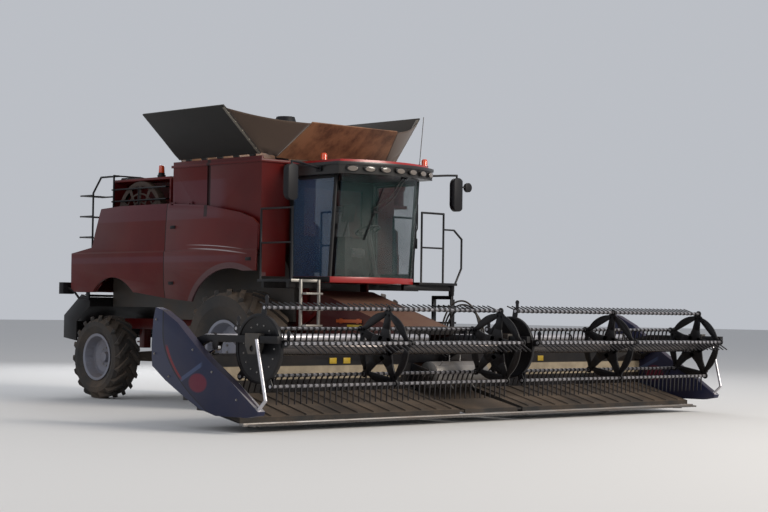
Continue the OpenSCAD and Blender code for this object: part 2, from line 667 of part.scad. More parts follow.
door_front_x = cab_front_x - 60;
door_low = cab_floor_z + 6;
door_top = cab_roof_z - 6;
door_y = cab_y + 6;
door_hinge_x = cab_rear_x + 30;
door_hinge_y = door_y + 20;
door_pin_r = 10;
module door_outline(d) offset(delta = -d) polygon([
    [cab_rear_x + 20, door_low], [door_front_x + 20, door_low], [door_front_x + 130, door_top],
        [cab_rear_x + 20, door_top]]);
module cab_door() color(black) placed() {
    difference() {
        across(door_y, door_y + 40) difference() {
            door_outline(0);
            door_outline(70);
        }
        for (z = [door_low - 1, door_top - 46]) translate([door_hinge_x, door_hinge_y, z])
            cylinder(h = 47, r = door_pin_r + pin_gap);
    }
    // Handle and hinge knuckles
    for (z = [2640, 2820]) bar([door_front_x + 26, door_y + 39, z], [door_front_x + 26, door_y + 80, z], 10);
    bar([door_front_x + 26, door_y + 78, 2600], [door_front_x + 26, door_y + 78, 2860], 12);
}
module cab_door_glass() color(pane) placed()
    across(door_y + 16, door_y + 16 + glass_t) door_outline(70 + seat_gap);

// Platforms, ladders, rails and mirrors

bearer_top = cab_floor_z - 90 - seat_gap;
plate_low = bearer_top - 1;
plate_top = bearer_top + 39;
rail_foot = plate_top - 10;
rail_r = 17;
mid_rail_r = 14;
left_out_y = 1800;
bearer_in_y = ear_y + ear_t + run_gap;
// Open grating between two corners, with its bars' pitch
module grating(low, high, cells) difference() {
    block([low[0], low[1], plate_low], [high[0], high[1], plate_top]);
    step = [(high[0] - low[0] - 40) / cells[0], (high[1] - low[1] - 40) / cells[1]];
    for (i = [0 : cells[0] - 1], j = [0 : cells[1] - 1])
        block([low[0] + 40 + i * step[0], low[1] + 40 + j * step[1], plate_low - 1],
              [low[0] + (i + 1) * step[0], low[1] + (j + 1) * step[1], plate_top + 1]);
}

front_rail_y = 1500;
module left_platform() color(black) placed() {
    grating([700, cab_y + 60], [1700, left_out_y], [6, 5]);
    difference() {
        union() {
            // Bearers from under the cab
            for (x = [760, 1580]) block([x, bearer_in_y, bearer_top - 90], [x + 60, left_out_y, bearer_top]);
            // Post of the ladder
            translate([ladder_x, ladder_y, bearer_top - 160]) cylinder(h = 160, r = 45);
        }
        translate([ladder_x, ladder_y, bearer_top - 161]) cylinder(h = 130, r = ladder_pin_r + pin_gap);
    }
    // Rail along the front edge
    tube_run([[1670, cab_y + 130, rail_foot], [1670, cab_y + 130, 3110], [1670, front_rail_y, 3110],
              [1670, front_rail_y, rail_foot]], rail_r);
    bar([1670, cab_y + 130, 2560], [1670, front_rail_y, 2560], mid_rail_r);
    // Rail at the rear
    tube_run([[730, left_out_y - 40, rail_foot], [730, left_out_y - 40, 3080], [730, cab_y + 420, 3080],
              [730, cab_y + 420, rail_foot]], rail_r);
    // Grab rail beside the ladder
    tube_run([[1670, left_out_y - 20, rail_foot], [1670, left_out_y + 120, 2250],
        [1670, left_out_y + 120, 2720], [1670, left_out_y - 60, 2860]], rail_r);
    tube_run([[1670, left_out_y + 110, 2728], [1670, left_out_y - 60, 2860], [1670, front_rail_y, 2860]],
        mid_rail_r);
}

ladder_x = 1630;
ladder_y = left_out_y - 60;
ladder_w = 420;
ladder_pin_r = 20;
ladder_top = bearer_top - 160 - seat_gap;
ladder_low = 560;
module boarding_ladder() color(black) placed() {
    translate([ladder_x, ladder_y, ladder_top - 1]) cylinder(h = 120, r = ladder_pin_r);
    block([ladder_x - ladder_w, ladder_y - 25, ladder_top - 60], [ladder_x + 25, ladder_y + 25, ladder_top]);
    for (x = [ladder_x - ladder_w, ladder_x - 5])
        block([x, ladder_y - 25, ladder_low], [x + 30, ladder_y + 55, ladder_top - 59]);
    for (i = [0 : 4]) block([ladder_x - ladder_w + 29, ladder_y - 25, ladder_low + 20 + i * 260],
        [ladder_x - 4, ladder_y + 125, ladder_low + 50 + i * 260]);
}

module right_platform() color(black) placed() {
    grating([panel_front_x + 20, -1500], [1450, -cab_y - 60], [5, 4]);
    for (x = [760, 1340]) block([x, -1500, bearer_top - 90], [x + 60, -bearer_in_y, bearer_top]);
    // Rails
    tube_run([[700, -1470, rail_foot], [700, -1470, 3080], [1420, -1470, 3080],
        [1420, -1470, rail_foot]], rail_r);
    bar([700, -1470, 2560], [1420, -1470, 2560], mid_rail_r);
    // Ladder down from the front edge
    for (y = [-1340, -980]) block([1449, y, 1290], [1490, y + 30, plate_top]);
    for (i = [0 : 2]) block([1455, -1311, 1300 + i * 240], [1580, -979, 1330 + i * 240]);
}

rear_rail_x = hood_top_rear_x + 70;
deck_foot = deck_top + seat_gap;
// Ladder at the right rear corner: its stiles in y, and the height of its steps
stile_y = [-1200, -760];
stile_x = hood_rear_x + 430;
step_z = [2760, 3120, 3480];
step_l = 380;
deck_rail_top = 3780;
module stile(y, more) tube_run(concat([[stile_x, y, hood_step_z + 68.3], [stile_x, y, 3520],
    [stile_x + 230, y, deck_rail_top], [rear_rail_x + 60, y, deck_rail_top]], more), rail_r);
module deck_rails() color(black) placed() {
    // Rail across the left rear of the engine deck
    tube_run([[rear_rail_x, -300, deck_foot], [rear_rail_x, -300, 3740], [rear_rail_x, 1340, 3740],
              [rear_rail_x, 1340, deck_foot]], rail_r);
    bar([rear_rail_x, -300, 3460], [rear_rail_x, 1340, 3460], mid_rail_r);
    // Stiles of the ladder, bent forward over the deck as hand rails
    stile(stile_y[0], [[rear_rail_x + 60, -1300, deck_rail_top], [rear_rail_x + 60, -1300, deck_foot]]);
    stile(stile_y[1], []);
    bar([rear_rail_x + 60, stile_y[0], deck_rail_top], [rear_rail_x + 60, stile_y[1], deck_rail_top],
        mid_rail_r);
    tube_run([[rear_rail_x + 60, stile_y[1], deck_rail_top], [rear_rail_x + 60, -300, 3740],
        [rear_rail_x, -300, 3740]], mid_rail_r);
    translate([rear_rail_x + 60, stile_y[1], deck_rail_top]) sphere(r = rail_r + weld_h, $fn = 24);
    for (z = step_z) {
        for (y = stile_y) bar([stile_x, y, z], [stile_x - step_l, y, z], mid_rail_r);
        for (x = [stile_x - step_l + 20, stile_x - step_l / 2])
            bar([x, stile_y[0] - 6, z], [x, stile_y[1] + 6, z], mid_rail_r - 2);
    }
    // Rails in front of the round screen
    for (z = [deck_top + 130, deck_top + 330])
        tube_run([[box_rear_x + 60, box_out_y - seat_gap, z], [box_rear_x + 60, box_out_y - 60, z],
            [box_front_x - 60, box_out_y - 60, z], [box_front_x - 60, box_out_y - seat_gap, z]], mid_rail_r);
    bar([screen_x, box_out_y - 60, deck_foot], [screen_x, box_out_y - 60, deck_top + 330], mid_rail_r - 2);
    // Cradle of the unloading auger
    block([rear_rail_x - 50, 1240, deck_foot], [rear_rail_x + 50, 1300, deck_top + 100]);
    bar([rear_rail_x, 1270, deck_top + 70], [rear_rail_x, auger_y - 60, auger_z - auger_r - 60], 25);
    block([rear_rail_x - 50, auger_y - 120, auger_z - auger_r - 60],
          [rear_rail_x + 50, auger_y + 120, auger_z - auger_r - 6]);
}

// Lamp boxes on bent arms under the rear corners of the hood
lamp_arm_y = 1455;
lamp_arm_x = hood_rear_x + 700;
module tail_lamps() color(black) placed() both_sides() {
    block([lamp_arm_x - 40, lamp_arm_y - 15, 1660],
        [lamp_arm_x + 40, lamp_arm_y + 15, panel_low_z + 60 - seat_gap]);
    tube_run([[lamp_arm_x, lamp_arm_y, 1690], [hood_rear_x + 430, lamp_arm_y, 1700],
        [hood_rear_x + 260, lamp_arm_y, 1830], [hood_rear_x + 100, lamp_arm_y, 1870]], 20);
    block([hood_rear_x - 20, lamp_arm_y - 110, 1770], [hood_rear_x + 110, lamp_arm_y + 110, 1970]);
    // Three round lenses to the rear
    for (i = [-1 : 1]) translate([hood_rear_x - 32, lamp_arm_y + i * 68, 1870]) rotate([0, 90, 0])
        cylinder(h = 20, r = 30);
}

// Flat housing with round ends and a bulged back, seen along x, between two heights
mirror_t = 90;
module mirror_housing(x, y, w, low, high) intersection() {
    along(x - mirror_t / 2, x + mirror_t / 2) translate([y, 0]) {
        for (z = [low + w / 2, high - w / 2]) translate([0, z]) circle(d = w);
        translate([-w / 2, low + w / 2]) square([w, high - low - w]);
    }
    translate([x - mirror_t / 2, y, 0]) cylinder(h = 5000, r = w * 0.56);
}
mirror_x = 1710;
mirror_y = 1750;
module mirror_set() {
    block([1430, cab_y + roof_side + seat_gap, 3640], [1530, cab_y + roof_side + 30, 3720]);
    tube_run([[1480, cab_y + roof_side + 25, 3690], [1690, 1560, 3730], [mirror_x, mirror_y, 3740],
        [mirror_x, mirror_y, 3640]], rail_r);
    mirror_housing(mirror_x, mirror_y, 230, 3160, 3700);
}
module mirrors() color(black) placed() {
    both_sides() mirror_set();
    // Small wide-angle mirror on the left
    bar([mirror_x, mirror_y + 100, 3560], [mirror_x + 10, mirror_y + 200, 3560], 12);
    translate([mirror_x - 20, mirror_y + 250, 3560]) rotate([0, 90, 0]) cylinder(h = 50, r = 75);
}

// Tank covers

side_pivot_z = side_seat_z + hinge_r + seat_gap;
side_pivot_y = tank_y - tank_wall / 2;
end_pivot_z = tank_top_z + hinge_r + seat_gap;
front_pivot_x = tank_front_x - tank_wall / 2;
rear_pivot_x = tank_rear_x + tank_wall / 2;
// Flat cover that rises outwards from a hinge at the origin towards +y, as long as l
module leaf(from, to, tip_from, tip_to, l, lean) rotate([lean, 0, 0])
    linear_extrude(cover_t, center = true) polygon([[from, 25], [to, 25], [tip_to, l], [tip_from, l]]);
module hinge_row(from, to, lean) {
    span = (to - from) / 5;
    for (i = [0.5 : 1 : 4.5]) translate([from + i * span - 60, 0, 0]) {
        rotate([0, 90, 0]) cylinder(h = 120, r = hinge_r);
        rotate([lean, 0, 0]) block([0, 0, -8], [120, 40, 8]);
    }
}
side_cover_front_x = front_pivot_x - 8;
side_cover_rear_x = rear_pivot_x + 150;
module side_cover(lean) translate([0, side_pivot_y, side_pivot_z]) {
    leaf(side_cover_rear_x, side_cover_front_x, side_cover_rear_x, side_cover_front_x, cover_l, lean);
    hinge_row(side_cover_rear_x + 20, side_cover_front_x - 20, lean);
}
module cover_left() color(black) placed() side_cover(left_cover_lean);
module cover_right() color(black) placed() mirror([0, 1, 0]) side_cover(cover_lean);
end_cover_root = 1130;
end_cover_tip = 900;
module end_cover() {
    leaf(-end_cover_root, end_cover_root, -end_cover_tip, end_cover_tip, end_cover_l, cover_lean);
    hinge_row(-1000, 1000, cover_lean);
}
module cover_front() color(tan_brown) placed()
    translate([front_pivot_x, 0, end_pivot_z]) rotate([0, 0, -90]) end_cover();
module cover_rear() color(tan_brown) placed()
    translate([rear_pivot_x, 0, end_pivot_z]) rotate([0, 0, 90]) end_cover();

// Thin sheet between four points
sheet_t = 3;
module sheet(p) {
    n = cross(p[2] - p[0], p[3] - p[1]) / norm(cross(p[2] - p[0], p[3] - p[1])) * sheet_t / 2;
    polyhedron([for (q = p) q - n, for (q = p) q + n],
        [[0, 1, 2], [0, 2, 3], [6, 5, 4], [7, 6, 4], [0, 4, 5], [0, 5, 1], [1, 5, 6], [1, 6, 2],
         [2, 6, 7], [2, 7, 3], [3, 7, 4], [3, 4, 0]]);
}
// Folded sheets that close the corners between the covers
module corner_sheets() color(black) placed() {
    edge_gap = seat_gap + sheet_t / 2;
    side_low = 45;
    side_high = cover_l * 0.94;
    end_low = 45;
    end_high = end_cover_l * 0.97;
    slope = (end_cover_root - end_cover_tip) / (end_cover_l - 25);
    for (sx = [-1, 1], sy = [-1, 1]) {
        side_x = (sx > 0 ? side_cover_front_x : side_cover_rear_x) + sx * edge_gap;
        end_x = sx > 0 ? front_pivot_x : rear_pivot_x;
        lean = sy > 0 ? left_cover_lean : cover_lean;
        on_side = [for (l = [side_low, side_high])
            [side_x, sy * (side_pivot_y + l * cos(lean)), side_pivot_z + l * sin(lean)]];
        on_end = [for (l = [end_low, end_high])
            [end_x + sx * l * cos(cover_lean), sy * (end_cover_root - (l - 25) * slope + edge_gap),
             end_pivot_z + l * sin(cover_lean)]];
        sheet([on_side[0], on_side[1], on_end[1], on_end[0]]);
    }
}

// Unloading auger

auger_r = 175;
auger_y = 1660;
auger_z = 3620;
auger_end_x = -4450;
module unload_auger() color(red) placed() {
    translate([outlet_x, auger_y - 20, panel_top_z + 60]) cylinder(h = auger_z - panel_top_z - 60, r = 160);
    translate([outlet_x, auger_y - 20, auger_z]) sphere(r = 190);
    bar([outlet_x, auger_y - 20, auger_z], [auger_end_x, auger_y, auger_z], auger_r);
    translate([auger_end_x - 30, auger_y, auger_z - 330]) cylinder(h = 420, r1 = 170, r2 = 190);
}

// Feeder house and its lift cylinders

// First and last point of the nearest hydraulic hose
hose_from = [2500, feeder_y + 30, 1140];
hose_to = [3080, feeder_y + 280, 985];
lift_y = 430;
lift_base = [330, 800];
lift_eye = [2250, 560];
lift_pin_r = 26;
// Inner and outer faces of the lugs that hold a lift cylinder
lug_in = 50;
lug_out = 78;
eye_play = 16;
module feeder_house() color(red) placed() {
    difference() {
        across(-feeder_y, feeder_y) union() {
            translate([feeder_pivot_x, feeder_pivot_z]) circle(r = 300);
            polygon([[feeder_pivot_x + 120, feeder_pivot_z + 275], [feeder_front_x, 1270],
                [feeder_front_x, 470], [feeder_front_x - 180, 470],
                    [feeder_pivot_x - 120, feeder_pivot_z - 275]]);
        }
        across(-feeder_y + 40, feeder_y - 40) polygon([[feeder_pivot_x + 300, feeder_pivot_z + 130],
            [feeder_front_x + 1, 1200], [feeder_front_x + 1, 540], [feeder_front_x - 160, 540],
            [feeder_pivot_x + 100, feeder_pivot_z - 260]]);
    }
    both_sides() cross_shaft(feeder_pivot_x, feeder_pivot_z, feeder_pin_r, feeder_y - 1, ear_y + ear_t + 20);
    // Block that the hydraulic hoses plug into
    block([hose_from[0] - 70, feeder_y - 1, hose_from[2] - 90],
        [hose_from[0] + 70, hose_from[1] + 110, hose_from[2]]);
    both_sides() {
        for (y = [lift_y - lug_out, lift_y + lug_in]) across(y, y + lug_out - lug_in)
            polygon([[lift_eye[0] - 60, lift_eye[1] - 45], [lift_eye[0] + 60, lift_eye[1] - 45],
                     [lift_eye[0] + 160, 640], [lift_eye[0] - 160, 780]]);
        cross_shaft(lift_eye[0], lift_eye[1], lift_pin_r, lift_y - lug_out, lift_y + lug_out);
    }
}

lift_d = lift_eye - lift_base;
lift_len = norm(lift_d);
lift_angle = atan2(lift_d[1], lift_d[0]);
// Places children along a cylinder that runs from a base pin, in x and z, at a sideways place
module at_ram(base, angle, y) translate([base[0], y, base[1]]) rotate([0, -angle, 0]) children();
module ram_barrel(pin, l, r) {
    neck = 84;
    difference() {
        union() {
            rotate([90, 0, 0]) cylinder(h = 80, r = pin + 24, center = true);
            block([0, -40, -pin - 20], [neck + 2, 40, pin + 20]);
            rotate([0, 90, 0]) translate([0, 0, neck]) cylinder(h = l - neck, r = r);
        }
        rotate([0, 90, 0]) translate([0, 0, 140]) cylinder(h = l, r = r * 0.6 + pin_gap);
        rotate([90, 0, 0]) cylinder(h = 90, r = pin + pin_gap, center = true);
    }
}
module ram_rod(from, eye_at, r, eye_r) {
    difference() {
        union() {
            rotate([0, 90, 0]) translate([0, 0, from]) cylinder(h = eye_at - from - eye_r + 4, r = r);
            translate([eye_at, 0, 0]) rotate([90, 0, 0]) cylinder(h = 80, r = eye_r + 20, center = true);
        }
        translate([eye_at, 0, 0]) rotate([90, 0, 0]) cylinder(h = 90, r = eye_r, center = true);
    }
}
lift_barrel_l = 1150;
lift_barrel_r = 65;
module lift_barrels() color(black) placed() both_sides() {
    at_ram(lift_base, lift_angle, lift_y) ram_barrel(lift_pin_r, lift_barrel_l, lift_barrel_r);
    cross_shaft(lift_base[0], lift_base[1], lift_pin_r, lift_y - lug_out - 2, lift_y + lug_out + 2);
}
module lift_rods() color(silver) placed() both_sides()
    at_ram(lift_base, lift_angle, lift_y) ram_rod(300, lift_len, lift_barrel_r * 0.6, lift_pin_r + eye_play);

// Header

reel_end_y = reel_gap / 2 + reel_l;
arm_in_y = reel_end_y + 30;
arm_w = 70;
shield_in_y = arm_in_y + arm_w + 30;
frame_x = 3000;
tube_w = 150;
back_top = 960;
// Half length of the lower back tube
low_tube_y = shield_in_y - 230;
module header_frame() color(black) placed() {
    // Upper and lower back tubes
    block([frame_x, -shield_in_y, back_top - tube_w], [frame_x + tube_w, shield_in_y, back_top]);
    difference() {
        block([frame_x, -low_tube_y, 220], [frame_x + tube_w, low_tube_y, 360]);
        block([frame_x - 1, -feeder_y + 40, 219], [frame_x + tube_w + 1, feeder_y - 40, 361]);
    }
    block([frame_x, -feeder_y + 39, 180], [frame_x + tube_w, feeder_y - 39, 250]);
    // Back sheets beside the mouth
    both_sides() block([frame_x + tube_w - 12, feeder_y - 20, 359],
        [frame_x + tube_w, shield_in_y, back_top - tube_w + 1]);
    // Adapter to the feeder house
    difference() {
        block([feeder_front_x + seat_gap, -feeder_y - 120, 380], [frame_x + 1, feeder_y + 120, 1330]);
        block([feeder_front_x - 1, -feeder_y + 40, 470], [frame_x + 2, feeder_y - 40, 1210]);
    }
    both_sides() block([frame_x, feeder_y - 20, back_top - 1], [frame_x + 100, feeder_y + 100, 1330]);
    // Legs under the decks
    for (y = leg_y) across(y - 30, y + 30) polygon([
        [frame_x + tube_w - 1, 230], [frame_x + tube_w - 1, 359], [deck_rear_x, 368 - seat_gap],
        [deck_front_x, 122 - seat_gap], [deck_front_x + 2, 96 - seat_gap], [knife_x - 85, 96 - seat_gap],
        [knife_x - 85, 62], [knife_x - 220, 55]]);
    // Side arms of the feed drum
    both_sides() difference() {
        across(feeder_y, feeder_y + 30) polygon([[frame_x + tube_w - 1, 450], [drum_x + 70, drum_z - 80],
            [drum_x + 70, drum_z + 80], [frame_x + tube_w - 1, 800]]);
        cross_shaft(drum_x, drum_z, drum_shaft_r + pin_gap, feeder_y - 1, feeder_y + 31);
    }
    // Ribs under the middle belt
    both_sides() block([frame_x + 20, 280, 249], [frame_x + tube_w - 10, 320, 425 - seat_gap]);
    // Block that the hydraulic hoses end in
    block([hose_to[0] - 50, hose_to[1] - 30, back_top - 1], [hose_to[0] + 50, hose_to[1] + 140, hose_to[2]]);
    // End plates
    both_sides() block([frame_x, shield_in_y - 60, 359],
        [frame_x + tube_w, shield_in_y, back_top - tube_w + 1]);
    // Brackets of the reel arms and of their cylinders
    for (y = arm_ys) {
        for (s = [-1, 1]) difference() {
            across(y + s * (arm_w / 2 + 4 + 12) - 12, y + s * (arm_w / 2 + 4 + 12) + 12) polygon([
                [frame_x + 20, back_top - 1], [arm_pivot[0] - 70, arm_pivot[1] + 60],
                    [arm_pivot[0] + 60, arm_pivot[1] + 60],
                [arm_pivot[0] + 70, back_top - 1]]);
            cross_shaft(arm_pivot[0], arm_pivot[1], arm_pin_r + pin_gap, y - 100, y + 100);
        }
        for (s = [-1, 1]) difference() {
            across(y + s * 44 - 8, y + s * 44 + 8) polygon([
                [frame_x + tube_w - 1, back_top - 140], [reel_base[0] - 10, reel_base[1] - 40],
                    [reel_base[0] + 40, reel_base[1] - 30],
                [reel_base[0] + 40, reel_base[1] + 30], [frame_x + tube_w - 1, back_top - 20]]);
            cross_shaft(reel_base[0], reel_base[1], ram_pin_r + pin_gap, y - 100, y + 100);
        }
    }
}

leg_in_y = feeder_y + 100;
leg_y = [for (i = [-3 : 3]) if (i != 0) sign(i) * (leg_in_y + (abs(i) - 1) * (low_tube_y - 30 - leg_in_y) / 2)];
arm_ys = [-(arm_in_y + arm_w / 2), 0, arm_in_y + arm_w / 2];
arm_pivot = [3120, 1080];
reel_base = [3230, 860];
arm_pin_r = 22;
ram_pin_r = 16;

shield_tip = [4650, 240];
module end_shields() color(black) placed() both_sides() {
    across(shield_in_y, shield_in_y + shield_t) polygon([
        [2490, 1400], [2460, 1060], [2480, 790], [2770, 610], [3200, 400], [3500, 270], [3830, 200],
        [shield_tip[0] - 200, 205], shield_tip, [shield_tip[0] + 20, shield_tip[1] + 50], [4130, 640],
        [3670, 900], [3400, 1080], [3010, 1370], [2700, 1520], [2540, 1560]]);
    // Divider rod
    tube_run([[shield_tip[0] - 80, shield_in_y + 60, 270], [4740, shield_in_y + 60, 430],
              [4550, shield_in_y + 60, 1180]], 22);
}

// Hydraulic hoses that arch from the feeder house to the header, side by side
hose_r = 14;
hose_pitch = 48;
// Route of the nearest hose from hose_from: x, y, z, and how much lower the next hose lies there
hose_route = [
    [0, 0, hose_r + seat_gap, 0], [2, 4, 80, 4], [8, 11, 165, 10], [22, 22, 260, 20],
    [48, 36, 350, 31], [85, 54, 435, 40], [135, 76, 508, 47], [198, 100, 556, 53],
    [268, 124, 578, 57], [340, 150, 574, 59], [408, 174, 540, 58], [468, 196, 480, 54],
    [515, 213, 398, 47], [548, 228, 300, 37], [568, 240, 190, 25], [577, 247, 80, 13],
    [580, 250, -40, 4], [580, 250, hose_to[2] - hose_from[2] + hose_r + seat_gap, 0]];
module hoses() color(rubber) placed() for (i = [0 : 2]) {
    points = [for (row = hose_route) hose_from + [row[0], row[1] + i * hose_pitch, row[2] - i * row[3]]];
    for (k = [0 : len(points) - 2]) hull()
        for (p = [points[k], points[k + 1]]) translate(p) sphere(r = hose_r, $fn = 8);
}

module cutterbar() color(grey) placed() {
    bar_y = shield_in_y - seat_gap;
    count = floor(2 * (bar_y - 40) / guard_pitch);
    first = -(count - 1) / 2 * guard_pitch;
    block([knife_x - 130, -bar_y, 96], [knife_x - 40, bar_y, 122]);
    translate([0, 0, 84]) linear_extrude(24) union() {
        translate([knife_x - 80, -bar_y]) square([45, 2 * bar_y]);
        for (i = [0 : count - 1]) translate([knife_x - 40, first + i * guard_pitch])
            polygon([[0, -17], [60, -13], [130, -2], [130, 2], [60, 13], [0, 17]]);
    }
}

deck_rear_x = frame_x + tube_w + 20;
deck_front_x = knife_x - 140;
module draper(from, to, slat_pitch) {
    across(from, to) polygon([[deck_rear_x, 368], [deck_rear_x, 432], [deck_front_x, 182],
        [deck_front_x, 122]]);
    for (y = [from + slat_pitch / 2 : slat_pitch : to - 20]) across(y - 8, y + 8)
        polygon([[deck_rear_x + 20, 420], [deck_rear_x + 20, 447], [deck_front_x - 20, 207],
            [deck_front_x - 20, 180]]);
}
module drapers() color(black) placed() {
    both_sides() draper(feeder_y + 60, shield_in_y - 20, 300);
    across(-feeder_y + 50, feeder_y - 50) polygon([
        [frame_x - 60, 475], [frame_x + 10, 475], [frame_x + 10, 425], [frame_x + tube_w, 425],
        [3250, 325], [drum_x, 285], [deck_front_x, 123], [deck_front_x, 180], [drum_x, 340],
        [3250, 380], [frame_x + tube_w, 480], [frame_x - 60, 530]]);
    both_sides() block([deck_front_x - 60, feeder_y - 51, 145], [deck_front_x - 20, feeder_y + 61, 170]);
}

drum_x = 3400;
drum_z = 640;
drum_r = 190;
drum_shaft_r = 30;
module feed_drum() color(silver) placed() {
    cross_shaft(drum_x, drum_z, drum_r, -feeder_y + 60, feeder_y - 60);
    cross_shaft(drum_x, drum_z, drum_shaft_r, -feeder_y - 40, feeder_y + 40);
    both_sides() for (i = [0 : 3]) translate([drum_x, 110 + i * 115, drum_z]) rotate([0, i * 135, 0])
        cylinder(h = drum_r + 90, r = 9);
}

arm_beam_z = reel_z + 70;
module reel_arms() color(black) placed() for (y = arm_ys) {
    across(y - arm_w / 2, y + arm_w / 2) polygon([
        [arm_pivot[0] - 60, arm_pivot[1] - 50], [arm_pivot[0] + 60, arm_pivot[1] - 60],
        [arm_pivot[0] + 320, arm_beam_z], [reel_x + 480, arm_beam_z], [reel_x + 480, arm_beam_z + 90],
        [arm_pivot[0] + 300, arm_beam_z + 90], [arm_pivot[0] - 40, arm_pivot[1] + 60]]);
    cross_shaft(arm_pivot[0], arm_pivot[1], arm_pin_r, y - arm_w / 2 - 26, y + arm_w / 2 + 26);
    // Lugs and pin of the lift cylinder
    for (side = [-1, 1]) across(y + side * 32.5 - 7.5, y + side * 32.5 + 7.5) polygon([
        [3560, arm_beam_z + 20], [3700, arm_beam_z + 20], [reel_eye[0] + 30, reel_eye[1] - 30],
        [reel_eye[0] - 30, reel_eye[1] - 30]]);
    cross_shaft(reel_eye[0], reel_eye[1], ram_pin_r, y - 40, y + 40);
}
reel_eye = [3620, 1060];
reel_d = reel_eye - reel_base;
reel_len = norm(reel_d);
reel_angle = atan2(reel_d[1], reel_d[0]);
module reel_barrels() color(black) placed() for (y = arm_ys) {
    at_ram(reel_base, reel_angle, y) ram_barrel_small();
    cross_shaft(reel_base[0], reel_base[1], ram_pin_r, y - 52, y + 52);
}
module ram_barrel_small() difference() {
    union() {
        rotate([90, 0, 0]) cylinder(h = 50, r = 36, center = true);
        rotate([0, 90, 0]) translate([0, 0, 20]) cylinder(h = 250, r = 32);
    }
    rotate([0, 90, 0]) translate([0, 0, 60]) cylinder(h = 300, r = 18 + pin_gap);
}
module reel_rods() color(silver) placed() for (y = arm_ys) at_ram(reel_base, reel_angle, y) difference() {
    union() {
        rotate([0, 90, 0]) translate([0, 0, 70]) cylinder(h = reel_len - 70 - 30, r = 18);
        translate([reel_len, 0, 0]) rotate([90, 0, 0]) cylinder(h = 40, r = 42, center = true);
    }
    translate([reel_len, 0, 0]) rotate([90, 0, 0]) cylinder(h = 60, r = 28, center = true);
}

shaft_r = 40;
module reel_carriage() color(grey) placed() for (y = arm_ys) difference() {
    union() {
        block([reel_x - 130, y - arm_w / 2 - 14, arm_beam_z - 30],
            [reel_x + 130, y + arm_w / 2 + 14, arm_beam_z + 120]);
        across(y - arm_w / 2 - 14, y + arm_w / 2 + 14) polygon([
            [reel_x - 130, arm_beam_z - 29], [reel_x - 70, reel_z - 70], [reel_x + 70, reel_z - 70],
                [reel_x + 130, arm_beam_z - 29]]);
    }
    block([reel_x - 131, y - arm_w / 2 - seat_gap, arm_beam_z - seat_gap],
        [reel_x + 131, y + arm_w / 2 + seat_gap, arm_beam_z + 90 + seat_gap]);
    cross_shaft(reel_x, reel_z, shaft_r + pin_gap, y - arm_w, y + arm_w);
}

tine_gaps = floor((reel_l - 60) / tine_pitch);
first_spider = reel_gap / 2 + 30;
mid_spider = first_spider + round(tine_gaps / 2) * tine_pitch;
plate_r = 440;
// Band with round ends between two points
module band(a, b, r) {
    d = b - a;
    translate(a) rotate(atan2(d[1], d[0])) translate([0, -r]) square([norm(d), 2 * r]);
    translate(a) circle(r = r);
    translate(b) circle(r = r);
}
module bat_lobes() for (a = bat_angles) rotate(a) band([0, 0], [bat_circle_r, 0], bat_r + 24);
module bat_holes() for (a = bat_angles) rotate(a) translate([bat_circle_r, 0]) circle(r = bat_r + 0.5);
// Star with five large round-cornered windows
module spider() difference() {
    union() {
        circle(r = bat_circle_r - 45, $fn = 72);
        bat_lobes();
    }
    bat_holes();
    for (a = bat_angles) rotate(a + 180 / bats) {
        window = [[175, 0], [370, 160], [370, -160]];
        band(window[0], window[1], 34);
        band(window[1], window[2], 34);
        band(window[2], window[0], 34);
        polygon(window);
    }
}
// Solid plate with lobes that carry the bats
module end_disc() difference() {
    union() {
        circle(r = plate_r, $fn = 72);
        bat_lobes();
    }
    bat_holes();
}
module reel_frame() color(silver) placed() {
    cross_shaft(reel_x, reel_z, shaft_r, -arm_in_y - arm_w, arm_in_y + arm_w);
    both_sides() cross_shaft(reel_x, reel_z, 90, reel_gap / 2 + 12, reel_end_y - 12);
    for (y = [-mid_spider, -first_spider, mid_spider, reel_end_y - 18])
        across(y - 10, y + 10) translate([reel_x, reel_z]) spider();
    for (y = [-reel_end_y + 15, first_spider - 9]) {
        across(y - 7, y + 7) translate([reel_x, reel_z]) end_disc();
        // Raised rim
        across(y - 22, y + 22) translate([reel_x, reel_z]) difference() {
            circle(r = plate_r, $fn = 72);
            circle(r = plate_r - 40, $fn = 72);
        }
    }
}

// One bat, with its tube, its tines and the cranks at the solid plates
crank_l = 125;
module bat(i) {
    a = bat_angles[i];
    first = first_spider + tine_pitch / 2;
    count = floor((reel_l - 60 - tine_pitch / 2) / tine_pitch);
    color(silver) placed() translate([reel_x + bat_circle_r * cos(a), 0, reel_z + bat_circle_r * sin(a)]) {
        both_sides() {
            cross_shaft(0, 0, bat_r, reel_gap / 2 + 10, reel_end_y - 4);
            rotate([0, -tine_dirs[i], 0]) linear_extrude(tine_t, center = true) union() {
                translate([-10, reel_gap / 2 + 20]) square([20, reel_l - 40]);
                for (k = [0 : count]) translate([0, first + k * tine_pitch])
                    polygon([[0, -11], [tine_l, -4], [tine_l, 4], [0, 11]]);
            }
        }
        for (y = [-reel_end_y + 50, first_spider + 26]) across(y - 6, y + 6) {
            band([0, 0], [0, crank_l], 26);
            translate([0, crank_l]) circle(r = 34);
        }
    }
}

